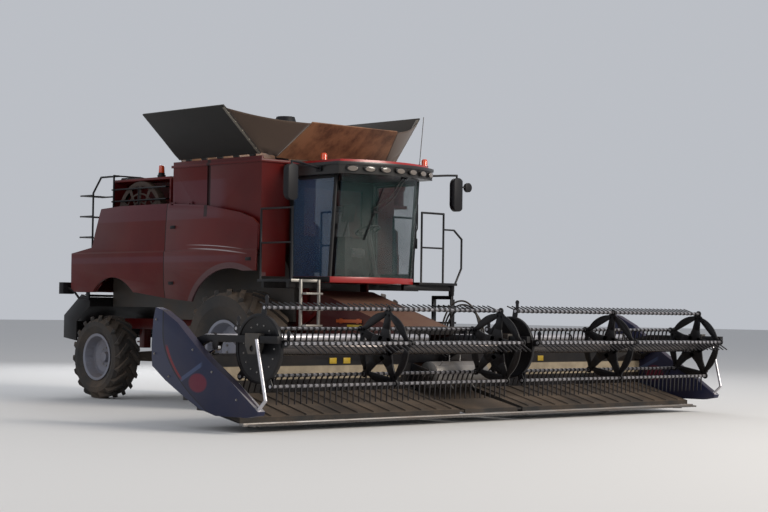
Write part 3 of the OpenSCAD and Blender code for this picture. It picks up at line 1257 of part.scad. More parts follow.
chassis();
front_axle();
rear_axle();
separator_housing();
engine();
cooling_housing();
air_screen();
grain_tank();
fill_auger();
rear_hood();
spreader_housing();
cab_frame();
cab_roof();
cab_glass();
cab_interior();
cab_door();
cab_door_glass();
left_platform();
boarding_ladder();
right_platform();
deck_rails();
mirrors();
knuckle(1);  // knuckle_left
knuckle(-1);  // knuckle_right
front_tyre(1);  // tyre_front_left
front_tyre(-1);  // tyre_front_right
front_rim(1);  // rim_front_left
front_rim(-1);  // rim_front_right
rear_tyre(1);  // tyre_rear_left
rear_tyre(-1);  // tyre_rear_right
rear_rim(1);  // rim_rear_left
rear_rim(-1);  // rim_rear_right
cover_right();
cover_left();
cover_front();
cover_rear();
corner_sheets();
side_panel();  // side_panel_left
mirror([0, 1, 0]) side_panel();  // side_panel_right
unload_auger();
feeder_house();
lift_barrels();
lift_rods();
header_frame();
end_shields();
cutterbar();
drapers();
feed_drum();
reel_arms();
reel_barrels();
reel_rods();
reel_carriage();
reel_frame();
bat(0);  // bat_1
bat(1);  // bat_2
bat(2);  // bat_3
bat(3);  // bat_4
bat(4);  // bat_5
tail_lamps();
hoses();
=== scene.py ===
# %% [markdown]
# # A combine harvester with a wide draper header
# The imported model gives every part its place and its joint. This script gives each of them
# its real finish and adds the small parts that a maker would buy in: hoses, lamps, seams and
# fastenings. Lengths are in metres, X points forward, Y to the left, Z up.

# %% Load the imported model
import json
import math

import bmesh
import bpy
from mathutils import Matrix, Vector
from mathutils.bvhtree import BVHTree


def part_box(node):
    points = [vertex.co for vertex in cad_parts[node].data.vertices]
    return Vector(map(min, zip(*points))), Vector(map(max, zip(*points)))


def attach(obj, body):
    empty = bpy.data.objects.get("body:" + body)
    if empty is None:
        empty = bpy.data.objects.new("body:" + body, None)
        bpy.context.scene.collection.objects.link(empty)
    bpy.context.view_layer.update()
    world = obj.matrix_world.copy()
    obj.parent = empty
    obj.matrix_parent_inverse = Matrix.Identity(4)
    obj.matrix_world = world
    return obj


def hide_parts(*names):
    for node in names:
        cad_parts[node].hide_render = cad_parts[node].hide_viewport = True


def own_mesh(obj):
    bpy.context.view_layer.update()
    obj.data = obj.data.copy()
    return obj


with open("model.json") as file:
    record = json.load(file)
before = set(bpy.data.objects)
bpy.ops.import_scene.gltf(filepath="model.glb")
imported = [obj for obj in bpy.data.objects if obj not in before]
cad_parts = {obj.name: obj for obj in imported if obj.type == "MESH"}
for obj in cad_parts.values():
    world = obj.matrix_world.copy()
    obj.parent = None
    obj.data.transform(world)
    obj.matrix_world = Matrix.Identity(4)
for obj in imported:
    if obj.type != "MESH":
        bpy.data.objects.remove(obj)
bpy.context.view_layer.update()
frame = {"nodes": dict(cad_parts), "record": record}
nodes = frame["nodes"]
bodies = frame["record"]["behaviour"]["bodies"]
body_of = {node: body for body, members in bodies.items() for node in members}
slot_of = {part["node"]: part["material_slot"] for part in frame["record"]["subparts"]}
rim_low, rim_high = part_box("rim_front_left")
axle_x = (rim_low.x + rim_high.x) / 2  # the front axle, seen from the middle of the machine

# %% [markdown]
# ## Camera
# The camera stands far away, about 1.5 m above the ground, and looks along the reel from the
# front right corner. A long lens keeps the parallel lines of the machine nearly parallel.
# Its place, angle and focal length were worked out from points measured on the photograph.

# %% Put a new object into the scene
def show(name, data):
    """Makes an object from its data and links it to the scene."""
    thing = bpy.data.objects.new(name, data)
    bpy.context.scene.collection.objects.link(thing)
    return thing


# %% Camera at the photograph's angle
eye = Vector((21.471 + axle_x, -18.755, 1.553))
turn, rise, roll = math.radians(46.26), math.radians(1.77), math.radians(0.80)
ahead = Vector((-math.sin(turn) * math.cos(rise), math.cos(turn) * math.cos(rise), math.sin(rise)))
side = Vector((math.cos(turn), math.sin(turn), 0))
over = side.cross(ahead)
tilted_side = side * math.cos(roll) + over * math.sin(roll)
tilted_over = over * math.cos(roll) - side * math.sin(roll)
camera_data = bpy.data.cameras.new("camera")
camera_data.sensor_width = 36
focal_pixels, picture_pixels = 1774.16, 768
camera_data.lens = focal_pixels / picture_pixels * camera_data.sensor_width
camera_data.clip_end = 500
camera = show("camera", camera_data)
camera_turn = Matrix((tilted_side, tilted_over, -ahead)).transposed().to_4x4()
camera.matrix_world = Matrix.Translation(eye) @ camera_turn
bpy.context.scene.camera = camera
bpy.context.scene.view_settings.view_transform = "Standard"
print("lens:", round(camera_data.lens, 1))

# %% [markdown]
# ## Shader sums
# A finish is a small tree of nodes. Written as nodes, even `1 - mask` takes four lines, so one
# class wraps a socket and lets Python's operators add the Math nodes.

# %% A value that flows through a material
class Flow:
    """A socket of a material, which can be used in Python sums."""

    def __init__(self, finish, socket):
        self.finish = finish
        self.socket = socket

    def maths(self, operation, first, second=0.0, clamp=False):
        settings = {"operation": operation, "use_clamp": clamp}
        return self.finish.add("ShaderNodeMath", settings, {0: first, 1: second})

    def __add__(self, other):
        return self.maths("ADD", self, other)

    def __radd__(self, other):
        return self.maths("ADD", other, self)

    def __sub__(self, other):
        return self.maths("SUBTRACT", self, other)

    def __rsub__(self, other):
        return self.maths("SUBTRACT", other, self)

    def __mul__(self, other):
        return self.maths("MULTIPLY", self, other)

    def __rmul__(self, other):
        return self.maths("MULTIPLY", other, self)

    def __truediv__(self, other):
        return self.maths("DIVIDE", self, other)

    def __pow__(self, other):
        return self.maths("POWER", self, other)

    def clamped(self):
        return self.maths("ADD", self, 0.0, clamp=True)

    def below(self, limit):
        return self.maths("LESS_THAN", self, limit)

    def above(self, limit):
        return self.maths("GREATER_THAN", self, limit)

    def wave(self):
        return self.maths("SINE", self)

    def size(self):
        return self.maths("ABSOLUTE", self)

    def at_least(self, limit):
        return self.maths("MAXIMUM", self, limit)

    def between(self, low, high, edge):
        """One inside the limits and nothing outside, with soft edges."""
        return ((self - low) / edge).clamped() * ((high - self) / edge).clamped()


# %% [markdown]
# ## A finish
# Each finish starts from the Principled shader. What is the same all over is set on the shader
# itself, and what changes over the surface is linked to it.

# %% A finish and its nodes
finishes = {}  # by name, which is also the name of the slot that wears the finish


class Finish:
    """A material that is built up node by node."""

    def __init__(self, name, colour, roughness=0.5, metallic=0.0, **constants):
        self.material = bpy.data.materials.new(name)
        self.material.use_nodes = True
        self.tree = self.material.node_tree
        self.shader = self.tree.nodes["Principled BSDF"]
        self.colour = (*colour, 1.0)
        self.shader.inputs["Base Color"].default_value = self.colour
        self.shader.inputs["Roughness"].default_value = roughness
        self.shader.inputs["Metallic"].default_value = metallic
        self.material.diffuse_color = self.colour
        for socket, value in constants.items():
            self.shader.inputs[socket.replace("_", " ")].default_value = value
        self.place = None
        finishes[name] = self

    def add(self, kind, settings=None, inputs=None, output=0):
        node = self.tree.nodes.new(kind)
        for name, value in (settings or {}).items():
            setattr(node, name, value)
        for socket, value in (inputs or {}).items():
            if isinstance(value, Flow):
                self.tree.links.new(value.socket, node.inputs[socket])
            else:
                node.inputs[socket].default_value = value
        return Flow(self, node.outputs[output])

    def coords(self):
        if self.place is None:
            self.place = self.add("ShaderNodeTexCoord", output="Object")
        return self.place

    def axis(self, letter):
        return self.add("ShaderNodeSeparateXYZ", {}, {0: self.coords()}, output=letter)

    def facing(self, letter):
        normal = self.add("ShaderNodeNewGeometry", {}, {}, output="Normal")
        return self.add("ShaderNodeSeparateXYZ", {}, {0: normal}, output=letter)

    def noise(self, scale, detail=3.0, roughness=0.55, stretch=None):
        at = self.coords()
        if stretch:
            at = self.add("ShaderNodeMapping", {}, {"Vector": at, "Scale": stretch})
        inputs = {"Vector": at, "Scale": scale, "Detail": detail, "Roughness": roughness}
        return self.add("ShaderNodeTexNoise", {}, inputs, output=0)

    def stretch_range(self, value, low, high, to_low=0.0, to_high=1.0):
        inputs = {"Value": value, "From Min": low, "From Max": high, "To Min": to_low, "To Max": to_high}
        return self.add("ShaderNodeMapRange", {"clamp": True}, inputs)

    def blend(self, factor, first, second):
        inputs = {0: factor, 6: first, 7: second}
        return self.add("ShaderNodeMix", {"data_type": "RGBA"}, inputs, output=2)

    def feed(self, socket, value):
        self.tree.links.new(value.socket, self.shader.inputs[socket])

    def bump(self, height, strength, distance):
        inputs = {"Height": height, "Strength": strength, "Distance": distance}
        self.feed("Normal", self.add("ShaderNodeBump", {}, inputs))


# %% [markdown]
# ## Dust
# Every outside surface carries the same tan dust. It lies thickest on what faces up and on what
# is near the ground, and it breaks up in patches. Dust hides gloss, so it also raises roughness.

# %% Dust over a finish
dust_colour = (0.20, 0.135, 0.085, 1.0)


def dusty(finish, amount, low=0.3, high=3.4, on_top=0.6, base=None):
    """Lays dust over a finish, whose own colour may vary as well."""
    patches = finish.stretch_range(finish.noise(1.7, 5.0, 0.62), 0.36, 0.72)
    fine = finish.stretch_range(finish.noise(38.0, 3.0, 0.7), 0.3, 0.75, 0.55, 1.0)
    near_ground = finish.stretch_range(finish.axis("Z"), high, low)
    upward = finish.stretch_range(finish.facing("Z"), 0.25, 0.95)
    cover = (((near_ground * 0.8 + 0.1) * patches + upward * on_top) * fine * amount).clamped()
    finish.feed("Base Color", finish.blend(cover, base or finish.colour, dust_colour))
    rough = finish.shader.inputs["Roughness"].default_value
    finish.feed("Roughness", finish.stretch_range(cover, 0.0, 0.6, rough, 0.88))


def dusted(name, colour, roughness, dust, on_top=0.6, **constants):
    """Makes a finish of one colour under dust."""
    finish = Finish(name, colour, roughness, **constants)
    dusty(finish, dust, on_top=on_top)
    return finish


# %% [markdown]
# ## Body paint
# The panels are a deep red, and a pressed crease, the strip round the wheel and the seams break
# it up; a paler, cooler red below the crease and on the tank's shoulder is painted sky light. A
# picture would have to be unwrapped for that, so a few sums on the place do it: each mask is one
# between two heights or distances and nothing elsewhere, with a soft edge of a few millimetres.

# %% Where the body's panels change their red
body_red = Finish("body_red", (0.064, 0.0028, 0.0034), roughness=0.36, Specular_IOR_Level=0.28)
crease_height, wheel_height = 2.50, 0.95
along_x = body_red.axis("X") - axle_x
height = body_red.axis("Z")
on_side = body_red.axis("Y").size().above(1.3)
past_split = (along_x + 1.2).at_least(0.0)
crease = crease_height - past_split * past_split * 0.038
lower_line = (height - crease).between(-0.012, 0.010, 0.004) * along_x.between(-1.1, 0.45, 0.5)
upper_line = (height - crease).between(0.050, 0.066, 0.004) * along_x.between(-1.15, 0.33, 0.5)
# Painted sky light: a band below the crease, which turns a little upwards, is a paler, cooler red.
painted_sky_band = height.between(2.27, 2.40, 0.03) * (crease - height).between(0.0, 0.5, 0.03)
painted_sky_band = painted_sky_band * along_x.between(-5.0, 0.35, 0.2)
over_wheel = height - wheel_height
arch_reach = (along_x * along_x + over_wheel * over_wheel) ** 0.5
arch_strip = arch_reach.between(1.20, 1.325, 0.008) * along_x.between(-1.3, 1.3, 0.01)
# Painted sky light on the tank's shoulder, in the same paler, cooler red.
painted_sky_shoulder = height.between(2.96, 3.6, 0.02) * along_x.between(-5.0, -0.2, 0.2)
deep_red = body_red.stretch_range(body_red.noise(0.7, 4.0), 0.3, 0.7)
tank_groove = along_x.between(-0.725, -0.635, 0.004) * height.above(3.0)
seam = along_x.between(-1.702, -1.678, 0.003)

# %% Body paint
paint = body_red.blend(deep_red, body_red.colour, (0.105, 0.0046, 0.0036, 1.0))
for mask, share, colour in (
    # Painted sky light on the band and the shoulder.
    ((painted_sky_band + painted_sky_shoulder).clamped(), 0.6, (0.095, 0.026, 0.036, 1.0)),
    (arch_strip, 0.8, (0.095, 0.052, 0.056, 1.0)),
    ((lower_line + upper_line).clamped(), 0.85, (0.42, 0.36, 0.36, 1.0)),
    ((tank_groove + seam).clamped(), 0.9, (0.010, 0.002, 0.002, 1.0)),
):
    paint = body_red.blend(mask * on_side * share, paint, colour)
dusty(body_red, 0.20, base=paint)
trim_red = dusted("trim_red", (0.30, 0.006, 0.006), 0.3, dust=0.22, Coat_Weight=0.2, Coat_Roughness=0.15)
dusted("sheet_grey", (0.07, 0.066, 0.062), 0.55, dust=0.8)
dusted("axle_grey", (0.035, 0.034, 0.032), 0.6, dust=0.9)
feeder_red = dusted("feeder_red", (0.060, 0.008, 0.008), 0.6, dust=0.55, on_top=0.7, Specular_IOR_Level=0.3)

# %% [markdown]
# ## Steelwork, plastics, rubber and glass
# The header and the steelwork are satin black, and the reel is worn bright by use. Two crossed
# waves punch the turning screen, patches of noise rust the tank's covers, and the glass lets most
# light through a thin film, which is cheaper than glass that bends the light.

# %% Punched sheet of the turning screen
screen_brown = Finish("screen_brown", (0.085, 0.050, 0.034), roughness=0.6, metallic=0.3)
hole_waves = 330.0  # radians a metre, for holes about 10 mm apart
across_holes = (screen_brown.axis("X") * hole_waves).wave()
holes = (across_holes * (screen_brown.axis("Z") * hole_waves).wave()).size()
punched = screen_brown.stretch_range(holes, 0.25, 0.45)
paint = screen_brown.blend(punched, screen_brown.colour, (0.006, 0.005, 0.005, 1.0))
screen_brown.bump(1.0 - punched, 0.4, 0.002)
dusty(screen_brown, 0.5, base=paint)

# %% Blacks
black_paint = dusted("black_paint", (0.0035, 0.0038, 0.0055), 0.36, dust=0.10, Specular_IOR_Level=0.3)
tine_black = dusted("tine_black", (0.005, 0.005, 0.008), 0.35, dust=0.1, Specular_IOR_Level=0.4)
dark_plastic = Finish("dark_plastic", (0.006, 0.006, 0.008), roughness=0.5, Specular_IOR_Level=0.25)
dark_plastic.bump(dark_plastic.noise(420.0, 2.0), 0.12, 0.0004)
dusty(dark_plastic, 0.15)
dusted("roof_plastic", (0.014, 0.013, 0.013), 0.32, dust=0.4, on_top=0.8)
cab_trim = dusted("cab_trim", (0.005, 0.005, 0.006), 0.45, dust=0.1, Specular_IOR_Level=0.25)

# %% End shields: a pale border, a groove, and plain lines and a patch of colour
shield_navy = Finish("shield_navy", (0.010, 0.0135, 0.042), roughness=0.4, Specular_IOR_Level=0.3)
along_x = shield_navy.axis("X") - axle_x
height = shield_navy.axis("Z")
below_bend = (1.25 - height).at_least(0.0)
past_groove = along_x - below_bend * below_bend * 0.95 - 2.71
red_line = past_groove.between(0.018, 0.075, 0.006) * height.between(0.62, 1.08, 0.05)
blue_start, blue_end = 3.07, 3.56
over_blue = height - 0.61 - (along_x - blue_start) * 0.49
blue_line = over_blue.between(-0.035, 0.035, 0.01) * along_x.between(blue_start, blue_end, 0.06)
from_patch_x = (along_x - 3.46) / 0.20
from_patch_z = (height - 0.60) / 0.13
red_patch = (from_patch_x * from_patch_x + from_patch_z * from_patch_z).between(-1.0, 1.0, 0.3)
paint = shield_navy.blend(past_groove.below(0.0), shield_navy.colour, (0.022, 0.029, 0.066, 1.0))
for mask, colour in (
    (red_patch, (0.11, 0.010, 0.028, 1.0)),
    (blue_line, (0.040, 0.060, 0.125, 1.0)),
    (red_line, (0.15, 0.010, 0.018, 1.0)),
    (past_groove.between(-0.016, 0.010, 0.004), (0.002, 0.002, 0.003, 1.0)),
):
    paint = shield_navy.blend(mask, paint, colour)
dusty(shield_navy, 0.12, on_top=1.5, base=paint)

# %% Header frame, with a strip of painted sunlight along its back
header_black = Finish("header_black", (0.0035, 0.0038, 0.0055), roughness=0.36, Specular_IOR_Level=0.3)
# Painted sunlight: a pale tan strip on the forward faces of the back sheet stands in for the sunlit draper.
painted_sunlit_strip = header_black.axis("Z").between(0.60, 0.79, 0.01) * header_black.axis("Y").size().above(0.86)
painted_sunlit_strip = painted_sunlit_strip * header_black.facing("X").above(0.5)
# Noise breaks the painted sunlight into patches.
sunlit_patches = header_black.stretch_range(header_black.noise(6.0, 4.0), 0.25, 0.75, 0.55, 1.0)
paint = header_black.blend(painted_sunlit_strip * sunlit_patches, header_black.colour, (0.44, 0.36, 0.25, 1.0))
dusty(header_black, 0.15, base=paint)

# %% Covers of the grain tank
dusted("cover_dark", (0.014, 0.0135, 0.0125), 0.6, dust=0.3, Specular_IOR_Level=0.35)
cover_tan = Finish("cover_tan", (0.235, 0.118, 0.062), roughness=0.6, Specular_IOR_Level=0.3)
rust = cover_tan.stretch_range(cover_tan.noise(3.0, 6.0, 0.7, stretch=(1.0, 1.0, 0.3)), 0.42, 0.66)
paint = cover_tan.blend(rust, cover_tan.colour, (0.085, 0.040, 0.024, 1.0))
dusty(cover_tan, 0.5, base=paint)
cover_edge = dusted("cover_edge", (0.19, 0.17, 0.14), 0.5, dust=0.5, metallic=0.5)
sheet_fabric = dusted("sheet_fabric", (0.060, 0.036, 0.023), 0.85, dust=0.6, Sheen_Weight=0.2)

# %% Metals
dusted("rim_silver", (0.215, 0.225, 0.27), 0.42, dust=0.6, metallic=0.35)
Finish("rod_chrome", (0.75, 0.75, 0.76), roughness=0.16, metallic=1.0)
bare_steel = Finish("bare_steel", (0.32, 0.31, 0.3), roughness=0.36, metallic=0.9)
bare_steel.bump(bare_steel.noise(60.0, 3.0, stretch=(1.0, 0.05, 1.0)), 0.15, 0.001)
dusty(bare_steel, 0.6)
reel_silver = dusted("reel_silver", (0.56, 0.55, 0.58), 0.3, dust=0.3, metallic=0.85)
worn_tube = dusted("worn_tube", (0.080, 0.072, 0.070), 0.22, dust=0.12, metallic=0.9)
aluminium = dusted("aluminium", (0.30, 0.29, 0.27), 0.4, dust=0.5, metallic=0.8)

# %% Rubber
tyre_rubber = Finish("tyre", (0.019, 0.018, 0.0175), roughness=0.75)
dusty(tyre_rubber, 0.7, low=0.0, high=2.6)
belt_rubber = dusted("belt_rubber", (0.012, 0.012, 0.012), 0.72, dust=0.5)

# %% Glass, bluer in the side panes
glass = Finish("glass", (0.018, 0.056, 0.050), roughness=0.03, Alpha=0.22, Coat_Weight=1.0,
               Coat_Roughness=0.02, Specular_IOR_Level=1.0)
side_pane = glass.facing("Y").size().above(0.7)
glass.feed("Base Color", glass.blend(side_pane, glass.colour, (0.045, 0.100, 0.185, 1.0)))
film = glass.stretch_range(glass.noise(2.2, 4.0), 0.35, 0.75, 0.12, 0.24)
glass.feed("Alpha", film + side_pane * 0.22)

# %% Lamps and coloured parts
lens_glass = Finish("lens_glass", (0.150, 0.125, 0.105), roughness=0.12, Coat_Weight=0.5)
lens_glass.feed("Roughness", lens_glass.stretch_range(lens_glass.noise(140.0), 0.3, 0.7, 0.05, 0.2))
beacon_orange = dusted("beacon_orange", (0.60, 0.055, 0.006), 0.15, dust=0.25, Coat_Weight=0.6)
signal_yellow = dusted("signal_yellow", (0.50, 0.33, 0.015), 0.3, dust=0.4, Coat_Weight=0.3)
signal_orange = dusted("signal_orange", (0.42, 0.075, 0.012), 0.4, dust=0.5)
lens_red = dusted("lens_red", (0.35, 0.008, 0.008), 0.15, dust=0.3, Coat_Weight=0.6)

# %% [markdown]
# ## Edges
# A folded sheet or a casting never ends in a knife edge, and the light that a rounded edge
# catches is what makes a machine look solid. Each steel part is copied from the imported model,
# its flat faces are joined up again, and its sharp edges get a small bevel.

# %% Copy a part and round its edges
def soften(shape, width, segments=2, limit=30.0):
    """Rounds the edges that turn by more than the limit, in degrees."""
    sharp = [e for e in shape.edges if e.is_manifold and e.calc_face_angle(0.0) > math.radians(limit)]
    bmesh.ops.bevel(shape, geom=sharp, offset=width, segments=segments, profile=0.5, affect="EDGES",
                    clamp_overlap=True, material=-1)


def finished(name, shape, finish, body, soft=0.0, smooth_angle=35.0):
    """Makes a piece from a bmesh, with its finish and soft edges, and lets it ride on a body."""
    if soft:
        soften(shape, soft)
    mesh = bpy.data.meshes.new(name)
    shape.to_mesh(mesh)
    shape.free()
    mesh.materials.append(finish.material)
    for face in mesh.polygons:
        face.use_smooth = True
    mesh.set_sharp_from_angle(angle=math.radians(smooth_angle))
    piece = show(name, mesh)
    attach(piece, body)
    print(name, "faces:", len(mesh.polygons))
    return piece


edge_width, edge_limit = 0.004, 28.0
same_place, same_plane = 0.00002, math.radians(1.0)


def rounded(node, segments, finish):
    """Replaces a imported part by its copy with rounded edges."""
    shape = bmesh.new()
    shape.from_mesh(nodes[node].data)
    bmesh.ops.remove_doubles(shape, verts=shape.verts, dist=same_place)
    bmesh.ops.dissolve_limit(shape, angle_limit=same_plane, verts=shape.verts, edges=shape.edges)
    soften(shape, edge_width, segments, edge_limit)
    piece = finished(node + "_rounded", shape, finish, body_of[node])
    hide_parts(node)
    return piece


# %% [markdown]
# ## Two paints on one part
# One welded or moulded part often carries more than one finish, such as a red trim below black
# pillars. A short test on the middle of each face and its normal picks the faces of the second.

# %% Paint the faces that pass a test
def repaint(piece, finish, test):
    """Gives the faces whose middle and normal pass the test another finish."""
    piece.data.materials.append(finish.material)
    slot = len(piece.data.materials) - 1
    count = 0
    for face in piece.data.polygons:
        if test(face.center, face.normal):
            face.material_index = slot
            count += 1
    print(piece.name, finish.material.name, count)


# %% Rounded parts
plain_nodes = {"tyre_front_left", "tyre_front_right", "tyre_rear_left", "tyre_rear_right", "cab_glass",
               "cab_door_glass", "corner_sheets", "lift_rods", "reel_rods", "hoses"}
own_finish = {"feeder_house": feeder_red, "end_shields": shield_navy, "air_screen": screen_brown,
              "header_frame": header_black}
pieces = {}
for node in sorted(nodes):
    finish = own_finish.get(node) or finishes[slot_of[node]]
    if node in plain_nodes:
        nodes[node].data.materials.clear()
        nodes[node].data.materials.append(finish.material)
        continue
    fine = node.startswith(("bat_", "cutterbar", "drapers"))
    pieces[node] = rounded(node, 1 if fine else 2, finish)
print("rounded parts:", len(pieces))

# %% Second finishes of the cab
trim_low, trim_top = 1.96, 2.075
roof_rim, roof_top = 3.765, 3.82
beacon_places = [(1.38, -0.82), (1.80, 0.92)]  # ahead of the front axle, left of the middle


def near_beacon(place, reach):
    """Whether a place on the roof lies within reach of a beacon's middle."""
    return any(math.hypot(place.x - axle_x - x, place.y - y) < reach for x, y in beacon_places)


repaint(pieces["cab_frame"], cab_trim, lambda at, n: at.z > trim_top)
repaint(pieces["cab_frame"], trim_red, lambda at, n: trim_low < at.z <= trim_top)
repaint(pieces["cab_roof"], trim_red,
        lambda at, n: roof_rim < at.z <= roof_top + 0.002 and not near_beacon(at, 0.07))
repaint(pieces["cab_roof"], beacon_orange, lambda at, n: at.z > roof_top + 0.022 and near_beacon(at, 0.054))

# %% Second finishes of the reel
reel_axis = Vector((axle_x + 4.36, 0, 1.06))
reel_tube, bat_circle, bat_tube = 0.096, 0.521, 0.021  # radii
bat_count, first_bat, bat_step = 5, 80, 72  # the last two in degrees


def bat_way(number):
    """The direction from the reel's axis to a bat."""
    bat_turn = math.radians(first_bat - bat_step * number)
    return Vector((math.cos(bat_turn), 0.0, math.sin(bat_turn)))


def from_axis(place, axis):
    """How far a place lies from an axis that runs across the machine."""
    return math.hypot(place.x - axis.x, place.z - axis.z)


repaint(pieces["reel_frame"], worn_tube,
        lambda at, n: from_axis(at, reel_axis) < reel_tube and abs(n.y) < 0.5)
for i in range(bat_count):
    bat_axis = reel_axis + bat_way(i) * bat_circle
    repaint(pieces[f"bat_{i + 1}"], tine_black, lambda at, n: from_axis(at, bat_axis) > bat_tube + 0.003)

# %% Second finishes of the shields, the right platform and the tail lamps
rod_points = [Vector(point) for point in ((4.57, 0.27), (4.74, 0.43), (4.55, 1.18))]  # forward and up


def from_rod(place):
    """How far a place lies from the bent divider rod, seen from the side."""
    at = Vector((place.x - axle_x, place.z))
    gaps = []
    for start, end in zip(rod_points, rod_points[1:]):
        share = max(0.0, min(1.0, (at - start).dot(end - start) / (end - start).length_squared))
        gaps.append((at - start.lerp(end, share)).length)
    return min(gaps)


repaint(pieces["end_shields"], reel_silver, lambda at, n: from_rod(at) < 0.03)
repaint(pieces["right_platform"], aluminium, lambda at, n: at.x > 1.44 + axle_x and at.z < 2.0)
repaint(pieces["tail_lamps"], lens_red, lambda at, n: n.x < -0.9 and abs(at.x - axle_x + 4.62) < 0.03)

# %% [markdown]
# ## Small bought-in parts
# Lamps, wipers, latches and bolts are catalogue parts that are screwed on. Each one is
# set on the surface that carries it: a ray finds the surface, so nothing floats or sinks in.

# %% Helpers for small parts
def spot(x, y, z):
    """A place ahead of the front axle, left of the middle and above the ground."""
    return Vector((x + axle_x, y, z))


def turned(direction):
    """The turn that lays the Z axis along a direction and keeps Y upright."""
    return Vector(direction).to_track_quat("Z", "Y").to_matrix().to_4x4()


def add_round(shape, centre, direction, radius, depth, tip=None, sides=24, stretch=(1.0, 1.0)):
    """Adds a round whose axis lies along a direction, and which may taper or be stretched."""
    place = Matrix.Translation(centre) @ turned(direction) @ Matrix.Diagonal((*stretch, 1.0, 1.0))
    bmesh.ops.create_cone(shape, cap_ends=True, segments=sides, radius1=radius,
                          radius2=radius if tip is None else tip, depth=depth, matrix=place)


def add_block(shape, centre, size, direction=(0.0, 0.0, 1.0)):
    """Adds a box whose third size lies along a direction."""
    place = Matrix.Translation(centre) @ turned(direction) @ Matrix.Diagonal((*size, 1.0))
    bmesh.ops.create_cube(shape, size=1.0, matrix=place)


def line_through(name, points, radius, kind):
    """A round curve through the points, smooth or with straight stretches."""
    curve = bpy.data.curves.new(name, "CURVE")
    curve.dimensions = "3D"
    curve.bevel_depth = radius
    curve.bevel_resolution = 3
    curve.resolution_u = 6
    curve.use_fill_caps = True
    spline = curve.splines.new(kind)
    stops = spline.bezier_points if kind == "BEZIER" else spline.points
    stops.add(len(points) - 1)
    for stop, place in zip(stops, points):
        if kind == "BEZIER":
            stop.co = place
            stop.handle_left_type = "AUTO"
            stop.handle_right_type = "AUTO"
        else:
            stop.co = (*place, 1.0)
    return curve


def add_tube(shape, points, radius):
    """Adds a bent tube to a shape."""
    curve = line_through("tube", points, radius, "POLY")
    holder = bpy.data.objects.new("tube", curve)
    mesh = bpy.data.meshes.new_from_object(holder)
    shape.from_mesh(mesh)
    bpy.data.objects.remove(holder)
    bpy.data.curves.remove(curve)
    bpy.data.meshes.remove(mesh)


surfaces = {}


def touch(node, start, direction):
    """Where a ray first meets a part, and which way the surface faces there."""
    if node not in surfaces:
        mesh = nodes[node].data
        corners = [v.co for v in mesh.vertices]
        surfaces[node] = BVHTree.FromPolygons(corners, [f.vertices for f in mesh.polygons])
    place, normal, _, _ = surfaces[node].ray_cast(start, Vector(direction).normalized())
    if place is None:
        raise ValueError(f"nothing of {node} lies that way")
    return place, normal


def set_block(shape, node, start, direction, size, lift):
    """Adds a box where a ray meets a part, with its middle lifted off the surface."""
    place, normal = touch(node, start, direction)
    add_block(shape, place + normal * lift, size, normal)


def add_bolt(shape, place, normal, size):
    """Adds a hexagon head on its washer, both sunk a little into the surface."""
    add_round(shape, place + normal * size * 0.05, normal, size * 1.1, size * 0.3, sides=16)
    add_round(shape, place + normal * size * 0.45, normal, size * 0.9, size * 0.9, tip=size * 0.82, sides=6)


# %% [markdown]
# ## Cab lamps, wiper and beacon
# The work lamps sit in a row round the roof's edge, so each is set by a ray towards the middle of
# that arc. A bezel and a lens are short tapered rounds, stretched into ovals.

# %% Lenses of the work lamps under the roof's edge
roof_centre = spot(0.276, 0.0, 3.673)
lamp_step = 8.4  # degrees
lenses = bmesh.new()
bezels = bmesh.new()
for i in range(-3, 4):
    out = Matrix.Rotation(math.radians(lamp_step * i), 3, "Z") @ Vector((1.0, 0.0, 0.0))
    place, _ = touch("cab_roof", roof_centre + out * 4.0, -out)
    add_round(bezels, place + out * 0.002, out, 0.050, 0.014, sides=32, stretch=(2.05, 1.0))
    add_round(lenses, place + out * 0.007, out, 0.043, 0.016, tip=0.036, sides=32, stretch=(2.1, 1.0))
finished("lamp_lenses", lenses, lens_glass, "root", soft=0.002)
finished("lamp_bezels", bezels, cab_trim, "root", soft=0.0015)

# %% Wiper that hangs from the roof
def before_glass(y, z, gap):
    """A place a little ahead of the windscreen."""
    place, _ = touch("cab_glass", spot(3.0, y, z), (-1.0, 0.0, 0.0))
    return place + Vector((gap, 0.0, 0.0))


wiper = bmesh.new()
for from_y, to_y, to_z in ((0.30, -0.24, 3.02), (0.22, -0.30, 3.10)):
    top = before_glass(from_y, 3.50, 0.055) + Vector((0.012, 0.0, 0.10))
    elbow = before_glass(from_y * 0.6 + to_y * 0.4, 3.30, 0.055)
    add_tube(wiper, [top, elbow, before_glass(to_y, to_z, 0.035)], 0.008)
    add_round(wiper, top, (1.0, 0.0, 0.0), 0.022, 0.05)
blade = [before_glass(y, z, 0.014) for y, z in ((-0.14, 3.42), (-0.28, 3.02), (-0.42, 2.62))]
add_tube(wiper, blade, 0.009)
add_tube(wiper, [place + Vector((0.016, 0.0, 0.0)) for place in blade], 0.005)
add_block(wiper, before_glass(-0.27, 3.05, 0.028), (0.03, 0.09, 0.03))
finished("wiper", wiper, cab_trim, "root")

# %% Beacon on the cooling deck
upward = Vector((0.0, 0.0, 1.0))
post, _ = touch("cooling_housing", spot(-2.32, -1.12, 5.0), -upward)
beacon = bmesh.new()
add_round(beacon, post + upward * 0.02, upward, 0.07, 0.05)
add_round(beacon, post + upward * 0.06, upward, 0.055, 0.04)
finished("deck_beacon_base", beacon, dark_plastic, "root", soft=0.004)
dome = bmesh.new()
add_round(dome, post + upward * 0.14, upward, 0.052, 0.13, tip=0.044, sides=32)
soften(dome, 0.016, 4)
finished("deck_beacon_dome", dome, beacon_orange, "root")

# %% [markdown]
# ## Bolts, latches, rear lamps and cab fittings
# A heavy wheel shows the ring of bolts that holds it. Each bolt is a hexagon on a washer, and a
# loop sets it where a ray from outside meets the rim. Latches, louvres and plates are flat boxes
# that are set the same way, so they follow the curve of the panel that carries them.

